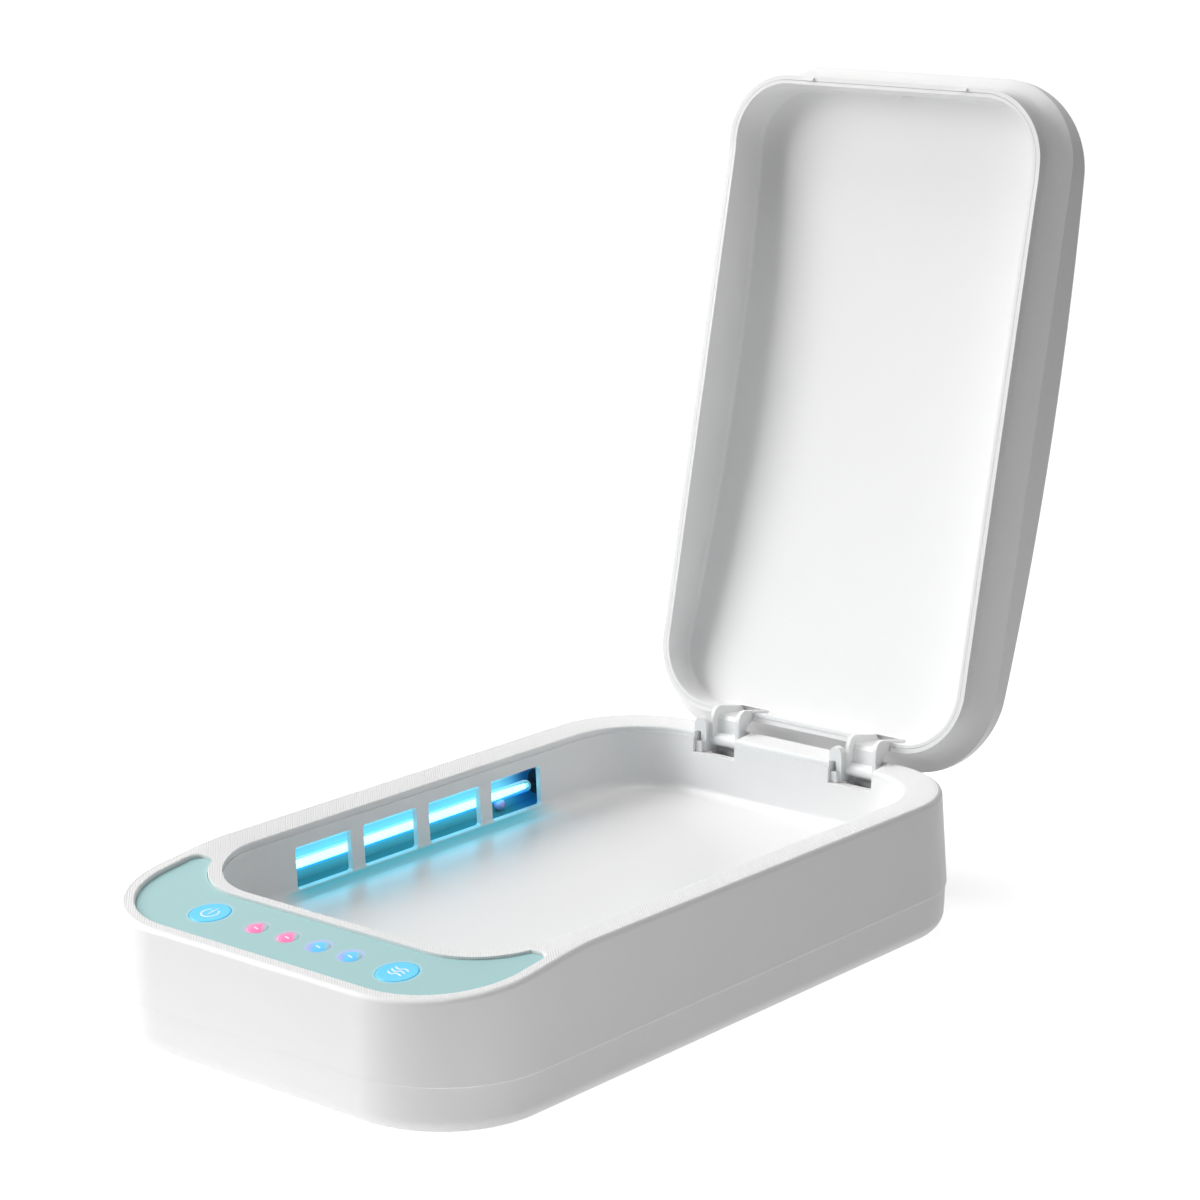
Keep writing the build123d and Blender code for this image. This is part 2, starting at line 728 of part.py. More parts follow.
# Lid shell: the outer cover, hollow, with its top edge rounded
with BuildPart() as lid_shell:
    add(lid_body(0, 0))
    fillet(lid_shell.faces().sort_by(lid_axis)[0].edges(), 3.2)
    # Two locating nubs on the front edge
    with BuildSketch(lid_plane):
        with Locations((-27, lid_length - 0.8), (27, lid_length - 0.8)):
            RectangleRounded(3.2, 1.0, 0.4)
    extrude(amount=2.9)
    add(lid_body(shell_wall, 1.8), mode=Mode.SUBTRACT)
    with BuildSketch(lid_plane.offset(4)):
        for middle in hinge_centres:
            with Locations((middle, 1.2)):
                Rectangle(2 * arm_half + 0.3, 3.6)
    extrude(amount=-13.2, mode=Mode.SUBTRACT)
lid_shell.part.label = "lid_shell"
export_step(lid_shell.part, "parts/lid_shell.step")

# Lid liner: the dish seen from inside
with BuildPart() as lid_hollow:
    with BuildSketch(lid_plane.offset(4)):
        lid_outline(-dish_wall, -dish_wall, -dish_wall, lid_corner - dish_wall)
    extrude(amount=-34)
    add(crown_block(dish_rise, 60), mode=Mode.SUBTRACT)
    fillet(lid_hollow.faces().sort_by(lid_axis)[0].edges(), 1.2)

with BuildPart() as lid_liner:
    with BuildSketch(lid_plane.offset(4)):
        edge = shell_wall + 0.1
        lid_outline(-edge, -edge, -edge, lid_corner - edge)
    extrude(amount=-34)
    add(crown_block(dish_rise - 1.4, 60), mode=Mode.SUBTRACT)
    add(skirt_block(), mode=Mode.SUBTRACT)
    add(lid_hollow.part, mode=Mode.SUBTRACT)
    with BuildSketch(lid_plane.offset(4)):
        for middle in hinge_centres:
            with Locations((middle, 1.2)):
                Rectangle(2 * arm_half + 0.3, 3.6)
    extrude(amount=-13.2, mode=Mode.SUBTRACT)
lid_liner.part.label = "lid_liner"
export_step(lid_liner.part, "parts/lid_liner.step")


def hinge_arm(middle, label):
    """Gooseneck arm: two side flanges, a web between them and a knuckle round the pin."""
    side_profile = [
        (hinge_y - 2.0, hinge_z - 0.2),
        (hinge_y - 1.9, hinge_z + 8.0),
        (hinge_y + 0.3, hinge_z + 10.2),
        (119.9, 46.4),
        (121.6, 44.3),
        (121.5, 43.3),
        (113.25, 45.0),
        (111.0, 44.0),
        (hinge_y + 1.9, hinge_z + 3.6),
        (hinge_y + 1.9, hinge_z - 0.2),
    ]
    web_profile = [
        (hinge_y + 0.3, hinge_z + 0.6),
        (hinge_y + 0.3, hinge_z + 6.2),
        (hinge_y + 1.4, hinge_z + 7.2),
        (121.2, 44.6),
        (121.0, 43.5),
        (113.25, 45.0),
        (111.0, 44.0),
        (hinge_y + 1.9, hinge_z + 3.6),
        (hinge_y + 1.9, hinge_z + 0.6),
    ]
    with BuildPart() as arm:
        for start in (middle - arm_half, middle + arm_half - arm_plate):
            with BuildSketch(Plane.YZ.offset(start)):
                with BuildLine():
                    Polyline(*side_profile, close=True)
                make_face()
            extrude(amount=arm_plate)
        with BuildSketch(Plane.YZ.offset(middle - arm_half + 0.5)):
            with BuildLine():
                Polyline(*web_profile, close=True)
            make_face()
        extrude(amount=2 * arm_half - 1.0)
        with BuildSketch(Plane.YZ.offset(middle - arm_half)):
            with Locations((hinge_y, hinge_z)):
                Circle(knuckle_radius)
        extrude(amount=2 * arm_half)
        with BuildSketch(Plane.YZ.offset(middle - arm_half - 1)):
            with Locations((hinge_y, hinge_z)):
                Circle(pin_radius)
        extrude(amount=2 * arm_half + 2, mode=Mode.SUBTRACT)
    arm.part.label = label
    export_step(arm.part, "parts/" + label + ".step")


hinge_arm(hinge_centres[0], "left_hinge_arm")
hinge_arm(hinge_centres[1], "right_hinge_arm")

# Hinge pins, pressed in the arms and turning in the posts and pocket walls
with BuildPart() as hinge_pins:
    for middle in hinge_centres:
        with BuildSketch(Plane.YZ.offset(middle - pocket_left + 2.5)):
            with Locations((hinge_y, hinge_z)):
                Circle(pin_radius)
        extrude(amount=pocket_left - 2.5 + pocket_right + 1.4)
hinge_pins.part.label = "hinge_pins"
export_step(hinge_pins.part, "parts/hinge_pins.step")
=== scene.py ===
"""Looks of the UV steriliser box: surfaces, ribbed rim, lit lamps, buttons, light and camera."""
from math import atan, cos, hypot, pi, radians, sin, sqrt

import bmesh
import bpy
import numpy as np
from bpy.props import FloatProperty, FloatVectorProperty, PointerProperty
from mathutils import Matrix, Vector


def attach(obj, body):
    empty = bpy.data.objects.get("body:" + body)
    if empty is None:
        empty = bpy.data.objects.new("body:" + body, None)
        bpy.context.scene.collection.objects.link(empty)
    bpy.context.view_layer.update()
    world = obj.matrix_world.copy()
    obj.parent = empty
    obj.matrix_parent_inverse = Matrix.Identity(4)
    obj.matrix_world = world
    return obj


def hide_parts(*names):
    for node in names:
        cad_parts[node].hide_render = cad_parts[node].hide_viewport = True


bl_info = {
    "name": "UV Steriliser Box",
    "version": (1, 0, 0),
    "blender": (4, 5, 0),
    "location": "View3D > Sidebar > Steriliser",
    "description": "Builds the finished surfaces of a lamp-lit steriliser box round its solids",
    "category": "Object",
}

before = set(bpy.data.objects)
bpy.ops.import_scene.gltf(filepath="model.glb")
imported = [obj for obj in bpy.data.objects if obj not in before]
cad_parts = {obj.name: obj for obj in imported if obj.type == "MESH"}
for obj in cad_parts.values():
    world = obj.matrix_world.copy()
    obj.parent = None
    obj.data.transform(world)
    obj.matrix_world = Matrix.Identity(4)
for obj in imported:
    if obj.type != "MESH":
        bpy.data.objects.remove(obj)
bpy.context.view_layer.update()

MM = 0.001
FLAT_ANGLE, EDGE_ANGLE, TOP_EDGE_ANGLE = radians(0.6), radians(35), radians(40)
MERGE_DISTANCE = 0.002 * MM


# Sizes and colours that a user would change


def distance(name, description, default):
    """A length property in metres."""
    return FloatProperty(
        name=name, description=description, default=default, unit="LENGTH", min=0.0, precision=5
    )


def colour(name, description, default):
    """A colour property."""
    return FloatVectorProperty(
        name=name, description=description, default=default, min=0.0, max=1.0, subtype="COLOR"
    )


def power(name, description, default):
    """A lamp power property in watts."""
    return FloatProperty(name=name, description=description, default=default, unit="POWER")


class RibSizes(bpy.types.PropertyGroup):
    """Fine diagonal ribs on the top band of the case."""

    pitch: distance("Rib pitch", "Distance from one rib to the next, square to the ribs", 0.64 * MM)
    depth: distance("Rib depth", "Height of a rib over the valley beside it", 0.11 * MM)
    border: distance("Plain border", "Width of the plain edge outside the ribs", 1.2 * MM)
    lip: distance("Rounded lip", "Radius of the edge round the tray and panel recess", 0.75 * MM)


class Finishes(bpy.types.PropertyGroup):
    """Colours of the plastics and lamps."""

    case: colour("Case white", "Outer case", (0.86, 0.86, 0.86))
    lid: colour("Lid white", "Lid shell and dish", (0.87, 0.868, 0.866))
    tray: colour("Tray white", "Tray liner", (0.875, 0.862, 0.858))
    panel: colour("Panel aqua", "Crescent control panel", (0.39, 0.63, 0.64))
    button: colour("Button blue", "Push buttons", (0.10, 0.62, 0.98))
    pink: colour("Lens pink", "Two indicator lenses", (0.90, 0.24, 0.46))
    blue: colour("Lens blue", "Two indicator lenses", (0.24, 0.33, 0.86))
    lamp: colour("Lamp light", "Light of the lamp tubes", (0.19, 0.80, 1.0))


class StageSettings(bpy.types.PropertyGroup):
    """Studio light levels."""

    key: power("Key", "Power of the front-left softbox", 22.5)
    side: power("Side", "Power of the high left softbox", 12.0)
    low: power("Low", "Power of the low left softbox", 3.3)
    top: power("Top", "Power of the overhead softbox", 12.0)
    front: power("Front", "Power of the small low softbox in front", 0.25)
    bounce: FloatProperty(
        name="Bounce", description="Light that the pale floor gives back", default=0.31, unit="NONE"
    )


# Modelling steps


def release():
    """Leave edit mode with nothing selected, ready for a new shape."""
    if bpy.context.object and bpy.context.object.mode != "OBJECT":
        bpy.ops.object.mode_set(mode="OBJECT")
    bpy.ops.object.select_all(action="DESELECT")


def only(piece):
    """Make a piece the only selected and the active object."""
    release()
    piece.select_set(True)
    bpy.context.view_layer.objects.active = piece


def add_plate(name, width, length, corner, at, segments):
    """A flat plate with rounded corners, left in edit mode with its face selected."""
    release()
    bpy.ops.mesh.primitive_plane_add(size=1)
    plate = bpy.context.object
    plate.name = plate.data.name = name
    bpy.ops.object.mode_set(mode="EDIT")
    bpy.ops.mesh.select_all(action="SELECT")
    bpy.ops.transform.resize(value=(width * MM, length * MM, 1), center_override=(0, 0, 0))
    bpy.ops.transform.translate(value=[c * MM for c in at])
    bpy.ops.mesh.bevel(
        offset=corner * MM, segments=segments, profile=0.5, affect="VERTICES", clamp_overlap=False
    )
    bpy.ops.mesh.select_all(action="SELECT")
    return plate


def raise_face(height):
    """Extrude the selected face straight up or down by a height in millimetres."""
    bpy.ops.mesh.extrude_region_move(TRANSFORM_OT_translate={"value": (0, 0, height * MM)})


def close_up(piece):
    """Leave edit mode with all faces pointing outwards."""
    if piece.mode != "EDIT":
        only(piece)
        bpy.ops.object.mode_set(mode="EDIT")
    bpy.ops.mesh.select_all(action="SELECT")
    bpy.ops.mesh.normals_make_consistent(inside=False)
    bpy.ops.object.mode_set(mode="OBJECT")
    return piece


def combine(piece, tool, operation="DIFFERENCE"):
    """Cut, join or intersect a piece with a tool, which is used up."""
    only(piece)
    step = piece.modifiers.new("combine", "BOOLEAN")
    step.operation = operation
    step.solver = "MANIFOLD"
    step.object = tool
    bpy.ops.object.modifier_apply(modifier=step.name)
    bpy.data.objects.remove(tool)
    return piece


def turned(name, steps, count=96):
    """A round piece grown upwards from a disc. Steps are a radius and a height in millimetres."""
    release()
    radius, height = steps[0]
    bpy.ops.mesh.primitive_circle_add(vertices=count, radius=radius * MM, fill_type="NGON")
    piece = bpy.context.object
    piece.name = piece.data.name = name
    bpy.ops.object.mode_set(mode="EDIT")
    bpy.ops.mesh.select_all(action="SELECT")
    bpy.ops.transform.translate(value=(0, 0, height * MM))
    for wider, higher in steps[1:]:
        raise_face(higher - height)
        share = wider / radius
        bpy.ops.transform.resize(value=(share, share, 1), center_override=(0, 0, 0))
        radius, height = wider, higher
    return close_up(piece)


def repeated(piece, places):
    """Copies of one shape, each with its own mesh, by name and place. The shape is used up."""
    made = []
    for name, place in places:
        copy = piece.copy()
        copy.data = piece.data.copy()
        copy.name = copy.data.name = name
        bpy.context.scene.collection.objects.link(copy)
        only(copy)
        copy.matrix_world = place
        bpy.ops.object.transform_apply(location=True, rotation=True, scale=True)
        made.append(copy)
    bpy.data.objects.remove(piece)
    return made


def merge_flat_faces(piece):
    """Join triangles that lie in one plane."""
    only(piece)
    bpy.ops.object.mode_set(mode="EDIT")
    bpy.ops.mesh.select_all(action="SELECT")
    bpy.ops.mesh.dissolve_limited(angle_limit=FLAT_ANGLE)
    bpy.ops.mesh.select_all(action="DESELECT")
    bpy.ops.object.mode_set(mode="OBJECT")
    return piece


def soften(piece, width, segments=2):
    """Round the sharp edges of a piece by a width in millimetres."""
    merge_flat_faces(piece)
    edge = piece.modifiers.new("soften", "BEVEL")
    edge.width = width * MM
    edge.segments = segments
    edge.limit_method = "ANGLE"
    edge.angle_limit = EDGE_ANGLE
    bpy.ops.object.modifier_apply(modifier=edge.name)
    return piece


def stroke(name, points, width):
    """A flat painted line along a smooth path of points in millimetres, narrower at its ends."""
    release()
    bpy.ops.curve.primitive_bezier_curve_add()
    line = bpy.context.object
    line.name = name
    line.data.dimensions = "3D"
    path = line.data.splines[0]
    path.bezier_points.add(len(points) - 2)
    for knot, (x, y) in zip(path.bezier_points, points):
        knot.co = (x * MM, y * MM, 0)
        knot.handle_left_type = knot.handle_right_type = "AUTO"
        knot.radius = 1.0
    path.bezier_points[0].radius = path.bezier_points[-1].radius = 0.6
    line.data.bevel_depth = width / 2 * MM
    line.data.bevel_resolution = 3
    line.data.use_fill_caps = True
    bpy.ops.object.convert(target="MESH")
    bpy.ops.object.mode_set(mode="EDIT")
    bpy.ops.mesh.select_all(action="SELECT")
    bpy.ops.transform.resize(value=(1, 1, MARK_THICKNESS / width * 2), center_override=(0, 0, 0))
    return close_up(line)


def join(name, pieces):
    """Make one piece of several."""
    only(pieces[0])
    for piece in pieces[1:]:
        piece.select_set(True)
    if len(pieces) > 1:
        bpy.ops.object.join()
    bpy.context.object.name = bpy.context.object.data.name = name
    return bpy.context.object


def merged_copy(name, node):
    """A copy of a solid from the frame with its loose triangles joined."""
    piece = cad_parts[node].copy()
    piece.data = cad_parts[node].data.copy()
    piece.parent = None
    for key in list(piece.keys()):
        del piece[key]
    bpy.context.scene.collection.objects.link(piece)
    piece.name = piece.data.name = name
    only(piece)
    if piece.data.has_custom_normals:
        bpy.ops.mesh.customdata_custom_splitnormals_clear()
    bpy.ops.object.mode_set(mode="EDIT")
    bpy.ops.mesh.select_all(action="SELECT")
    bpy.ops.mesh.remove_doubles(threshold=MERGE_DISTANCE)
    bpy.ops.object.mode_set(mode="OBJECT")
    return piece


def dress(piece, body, finish, nodes=(), angle=32):
    """Smooth a finished piece, give it the material of a finish and let it ride on its body."""
    only(piece)
    bpy.ops.object.shade_smooth_by_angle(angle=radians(angle))
    even = piece.modifiers.new("even_shading", "WEIGHTED_NORMAL")
    even.keep_sharp = True
    bpy.ops.object.modifier_apply(modifier=even.name)
    piece.data.materials.clear()
    piece.data.materials.append(bpy.data.materials[finish])
    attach(piece, body)
    if nodes:
        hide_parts(*nodes)
    return piece


# Helpers for shader nodes


def place_share(nodes, link, weights, start, span):
    """A number that goes from 0 to 1 along a direction of the object; start and span in metres."""
    place = nodes.new("ShaderNodeTexCoord")
    along = nodes.new("ShaderNodeVectorMath")
    along.operation = "DOT_PRODUCT"
    along.inputs[1].default_value = weights
    link(place.outputs["Object"], along.inputs[0])
    share = nodes.new("ShaderNodeMapRange")
    share.inputs["From Min"].default_value = start
    share.inputs["From Max"].default_value = start + span
    link(along.outputs["Value"], share.inputs["Value"])
    return share.outputs["Result"]


def object_place(nodes, link):
    """The place on the object as separate x, y and z."""
    place = nodes.new("ShaderNodeTexCoord")
    parts = nodes.new("ShaderNodeSeparateXYZ")
    link(place.outputs["Object"], parts.inputs[0])
    return parts


def smooth_range(nodes, link, value, start, end):
    """A number that eases from 0 to 1 between two values in millimetres."""
    step = nodes.new("ShaderNodeMapRange")
    step.interpolation_type = "SMOOTHSTEP"
    step.inputs["From Min"].default_value = start * MM
    step.inputs["From Max"].default_value = end * MM
    link(value, step.inputs["Value"])
    return step.outputs["Result"]


def mixed(nodes, link, share, first, tint):
    """A colour that goes over to a fixed tint by a share."""
    mix = nodes.new("ShaderNodeMix")
    mix.data_type = "RGBA"
    link(share, mix.inputs["Factor"])
    link(first, mix.inputs["A"])
    mix.inputs["B"].default_value = (*tint, 1)
    return mix.outputs["Result"]


def ramp(nodes, link, value, stops):
    """Colours along a number from 0 to 1, given as pairs of position and colour."""
    colours = nodes.new("ShaderNodeValToRGB")
    steps = colours.color_ramp.elements
    stops = sorted(stops, key=lambda stop: stop[0])
    for position, _ in stops[1:-1]:
        steps.new(position)
    for step, (position, tint) in zip(steps, stops):
        step.position = position
        step.color = (*tint, 1)
    link(value, colours.inputs["Fac"])
    return colours.outputs["Color"]


def math(nodes, link, operation, *values):
    """One calculation on numbers or node outputs."""
    step = nodes.new("ShaderNodeMath")
    step.operation = operation
    for socket, value in zip(step.inputs, values):
        if isinstance(value, (int, float)):
            socket.default_value = value
        else:
            link(value, socket)
    return step.outputs[0]


# Shared surface effects


def new_group(name, inputs, outputs):
    """An empty shader node group with named number or colour sockets."""
    group = bpy.data.node_groups.new(name, "ShaderNodeTree")
    for label, kind, default in inputs:
        socket = group.interface.new_socket(label, in_out="INPUT", socket_type=kind)
        socket.default_value = default
    for label, kind in outputs:
        group.interface.new_socket(label, in_out="OUTPUT", socket_type=kind)
    return group, group.nodes.new("NodeGroupInput"), group.nodes.new("NodeGroupOutput")


def moulded_grain_group():
    """Fine pebbled grain of moulded plastic with slow waves, faint mottling and uneven gloss."""
    group, given, made = new_group(
        "moulded_grain",
        [
            ("Colour", "NodeSocketColor", (0.8, 0.8, 0.8, 1)),
            ("Grain size", "NodeSocketFloat", 2600.0),
            ("Wave share", "NodeSocketFloat", 0.5),
            ("Mottle", "NodeSocketFloat", 0.02),
            ("Roughness", "NodeSocketFloat", 0.35),
            ("Gloss change", "NodeSocketFloat", 0.08),
        ],
        [
            ("Colour", "NodeSocketColor"),
            ("Roughness", "NodeSocketFloat"),
            ("Height", "NodeSocketFloat"),
        ],
    )
    nodes, link = group.nodes, group.links.new
    place = nodes.new("ShaderNodeTexCoord")
    grain = nodes.new("ShaderNodeTexNoise")
    grain.inputs["Detail"].default_value = 3
    wave = nodes.new("ShaderNodeTexNoise")
    wave.inputs["Scale"].default_value = 90
    wave.inputs["Detail"].default_value = 2
    patch = nodes.new("ShaderNodeTexNoise")
    patch.inputs["Scale"].default_value = 28
    patch.inputs["Detail"].default_value = 4
    link(given.outputs["Grain size"], grain.inputs["Scale"])
    for texture in (grain, wave, patch):
        link(place.outputs["Object"], texture.inputs["Vector"])
    share, change, level = (given.outputs[n] for n in ("Wave share", "Gloss change", "Roughness"))
    both = math(nodes, link, "MULTIPLY_ADD", wave.outputs["Fac"], share, grain.outputs["Fac"])
    link(both, made.inputs["Height"])
    centred = math(nodes, link, "SUBTRACT", patch.outputs["Fac"], 0.5)
    link(math(nodes, link, "MULTIPLY_ADD", centred, change, level), made.inputs["Roughness"])
    shade = nodes.new("ShaderNodeVectorMath")
    shade.operation = "SCALE"
    link(given.outputs["Colour"], shade.inputs[0])
    mottle = math(nodes, link, "MULTIPLY_ADD", centred, given.outputs["Mottle"], 1.0)
    link(mottle, shade.inputs["Scale"])
    link(shade.outputs[0], made.inputs["Colour"])


def start_material(name):
    """A new material with its shader, returned with its nodes and link function."""
    material = bpy.data.materials.new(name)
    material.use_nodes = True
    shader = material.node_tree.nodes["Principled BSDF"]
    return material, shader, material.node_tree.nodes, material.node_tree.links.new


def plastic(
    name, tint, roughness, grain=2600.0, bump=0.04, waves=0.5, mottle=0.02, change=0.08, coat=0.0
):
    """Moulded plastic with grain, slow waves and slightly uneven gloss."""
    material, shader, nodes, link = start_material(name)
    group = nodes.new("ShaderNodeGroup")
    group.node_tree = bpy.data.node_groups["moulded_grain"]
    group.inputs["Colour"].default_value = (*tint, 1)
    group.inputs["Grain size"].default_value = grain
    group.inputs["Wave share"].default_value = waves
    group.inputs["Mottle"].default_value = mottle
    group.inputs["Roughness"].default_value = roughness
    group.inputs["Gloss change"].default_value = change
    relief = nodes.new("ShaderNodeBump")
    relief.inputs["Strength"].default_value = bump
    relief.inputs["Distance"].default_value = 0.0001
    link(group.outputs["Colour"], shader.inputs["Base Color"])
    link(group.outputs["Roughness"], shader.inputs["Roughness"])
    link(group.outputs["Height"], relief.inputs["Height"])
    link(relief.outputs["Normal"], shader.inputs["Normal"])
    shader.inputs["Coat Weight"].default_value = coat
    shader.inputs["Coat Roughness"].default_value = 0.08
    return material


def metal(name, tint, roughness=0.3):
    """Plated or brushed metal with fine uneven gloss."""
    material = plastic(
        name, tint, roughness, grain=900, bump=0.06, waves=0.2, mottle=0.06, change=0.2
    )
    material.node_tree.nodes["Principled BSDF"].inputs["Metallic"].default_value = 1.0
    return material


def glowing(name, tint, strength):
    """A surface that gives light, a little uneven over its length."""
    _, shader, nodes, link = start_material(name)
    place = nodes.new("ShaderNodeTexCoord")
    noise = nodes.new("ShaderNodeTexNoise")
    noise.inputs["Scale"].default_value = 160
    link(place.outputs["Object"], noise.inputs["Vector"])
    level = ramp(nodes, link, noise.outputs["Fac"], [(0.2, [c * 0.86 for c in tint]), (0.7, tint)])
    link(level, shader.inputs["Emission Color"])
    shader.inputs["Emission Strength"].default_value = strength
    shader.inputs["Base Color"].default_value = (0.02, 0.02, 0.02, 1)


# Painted lamp light and reflections on the mirrors, and painted reflection bands in the tubes, from
# their lower to their upper edge
MIRROR_PAINTED_LIGHT_STOPS = [
    (0.0, (0.02, 0.12, 0.14)),
    (0.3, (0.05, 0.24, 0.27)),
    (0.4, (0.1, 0.36, 0.5)),
    (0.46, (0.03, 0.25, 0.5)),
    (0.52, (0.18, 0.4, 0.47)),
    (0.66, (0.16, 0.36, 0.42)),
    (0.71, (0.3, 0.52, 0.6)),
    (0.75, (0.15, 0.36, 0.42)),
    (0.83, (0.13, 0.31, 0.4)),
    (0.87, (0.26, 0.47, 0.54)),
    (0.92, (0.12, 0.3, 0.38)),
    (1.0, (0.1, 0.24, 0.3)),
]
# Painted reflection bands of the lamp tubes, darker blue below and lighter cyan above
TUBE_PAINTED_BAND_STOPS = [
    (0.0, (0.0, 0.16, 0.8)),
    (0.2, (0.02, 0.3, 0.95)),
    (0.4, (0.2, 0.75, 1.0)),
    (1.0, (0.45, 0.9, 1.0)),
]
# Reach of the painted lamp light on the mirrors in millimetres: over the height, and past the end
# of the lamp
MIRROR_DROP, MIRROR_SPAN = 5.4, 12.0
MIRROR_END_START, MIRROR_END_SPAN = 50.0, 12.0
# Painted shade: the deep blue past the end of the lamp, where its painted light ends
MIRROR_END = (0.008, 0.13, 0.34)
# Painted lamp light on the tray and painted halos on the panel, each from where it ends to where it
# is full, in millimetres
GLOW_REACH = (44.0, 56.0)
GLOW_HEIGHT = (24.6, 23.6)
GLOW_FRONT, GLOW_BACK = (-52.0, -38.0), (66.0, 48.0)
GLOW_FALL = 1.4
GLOW_TINT, GLOW_LIGHT = (0.05, 0.46, 0.58), (0.0, 0.16, 0.2)
BUTTON_HALO, BUTTON_HALO_TINT = (6.9, 5.4), (0.0, 0.09, 0.15)
LENS_HALO, PINK_HALO_TINT, BLUE_HALO_TINT = (4.4, 2.6), (0.13, 0.0, 0.05), (0.09, 0.0, 0.24)
# How far the rows on the head lie in front of the middle of the case, in millimetres
BUTTON_ROW_FRONT, HALO_ROW_FRONT, LENS_ROW_FRONT = 97.86, 97.36, 97.01
HALO_SHIFT = 0.55
# Direction across the lenses in which their colours change
LENS_SLANT = (0.77, 0.64)


def lens_finish(name, deep, bright, halo, clear):
    """A lit lens: deep colour on one side, clearing towards the other, with a tinted rim."""
    _, shader, nodes, link = start_material(name)
    parts = object_place(nodes, link)
    first, half, scale = LENS_FIRST * MM, LENS_PITCH / 2 * MM, 1 / (LENS_RADIUS * MM)
    wrapped = math(nodes, link, "WRAP", parts.outputs["X"], first + half, first - half)
    across = math(nodes, link, "MULTIPLY_ADD", wrapped, scale, -first * scale)
    front = LENS_ROW_FRONT / LENS_RADIUS
    along = math(nodes, link, "MULTIPLY_ADD", parts.outputs["Y"], scale, front)
    sideways = math(nodes, link, "MULTIPLY", across, LENS_SLANT[0])
    slant = math(nodes, link, "MULTIPLY_ADD", along, LENS_SLANT[1], sideways)
    share = math(nodes, link, "MULTIPLY_ADD", slant, 0.5, 0.5)
    stops = [(0.0, halo), (0.12, bright), (0.35, deep), (0.7, deep), (0.9, clear), (1.0, clear)]
    body = ramp(nodes, link, share, stops)
    link(body, shader.inputs["Base Color"])
    link(body, shader.inputs["Emission Color"])
    shader.inputs["Emission Strength"].default_value = 0.3
    shader.inputs["Roughness"].default_value = 0.28
    shader.inputs["Specular IOR Level"].default_value = 0.3


def lamp_glass(name, stops, middle, outline, strength):
    """Lit lamp glass with painted reflection bands, its colour changing from darker blue at its
    lower edge to lighter cyan at its upper edge, denser at its outline.
    """
    _, shader, nodes, link = start_material(name)
    rise = place_share(nodes, link, (0, 0, 1), (LAMP_Z - LAMP_RADIUS) * MM, 2 * LAMP_RADIUS * MM)
    link(ramp(nodes, link, rise, stops), shader.inputs["Emission Color"])
    rim = nodes.new("ShaderNodeLayerWeight")
    rim.inputs["Blend"].default_value = 0.45
    density = math(nodes, link, "MULTIPLY_ADD", rim.outputs["Facing"], outline - middle, middle)
    link(density, shader.inputs["Alpha"])
    shader.inputs["Emission Strength"].default_value = strength
    shader.inputs["Base Color"].default_value = (0.02, 0.2, 0.35, 1)
    shader.inputs["Roughness"].default_value = 0.05


def painted_reflector(name):
    """Satin blue sheet behind a lamp, with painted lamp light and reflections: painted reflection
    streaks above it, teal below it, painted shade in deep blue past its end.
    """
    _, shader, nodes, link = start_material(name)
    rise = place_share(nodes, link, (0, 0, 1), (LAMP_Z - MIRROR_DROP) * MM, MIRROR_SPAN * MM)
    past = place_share(nodes, link, (0, 1, 0), MIRROR_END_START * MM, MIRROR_END_SPAN * MM)
    body = mixed(nodes, link, past, ramp(nodes, link, rise, MIRROR_PAINTED_LIGHT_STOPS), MIRROR_END)
    link(body, shader.inputs["Base Color"])
    link(body, shader.inputs["Emission Color"])
    # Painted lamp light: the sheet glows though it is no lamp
    shader.inputs["Emission Strength"].default_value = 0.35
    shader.inputs["Roughness"].default_value = 0.45


def painted_tray_lamp_light(material):
    """Painted lamp light: a cyan tint and glow painted on the cove under the windows and the floor
    beside it.
    """
    nodes, link = material.node_tree.nodes, material.node_tree.links.new
    shader = nodes["Principled BSDF"]
    parts = object_place(nodes, link)
    reach = math(nodes, link, "ABSOLUTE", parts.outputs["X"])
    near = math(nodes, link, "POWER", smooth_range(nodes, link, reach, *GLOW_REACH), GLOW_FALL)
    low = smooth_range(nodes, link, parts.outputs["Z"], *GLOW_HEIGHT)
    front = smooth_range(nodes, link, parts.outputs["Y"], *GLOW_FRONT)
    back = smooth_range(nodes, link, parts.outputs["Y"], *GLOW_BACK)
    ends = math(nodes, link, "MULTIPLY", front, back)
    share = math(nodes, link, "MULTIPLY", math(nodes, link, "MULTIPLY", near, low), ends)
    # Painted lamp light: cyan mixed into the white and a glow where the lamps would light the tray
    white = shader.inputs["Base Color"].links[0].from_socket
    link(mixed(nodes, link, share, white, GLOW_TINT), shader.inputs["Base Color"])
    light = ramp(nodes, link, share, [(0.0, (0, 0, 0)), (1.0, GLOW_LIGHT)])
    link(light, shader.inputs["Emission Color"])
    shader.inputs["Emission Strength"].default_value = 1.0


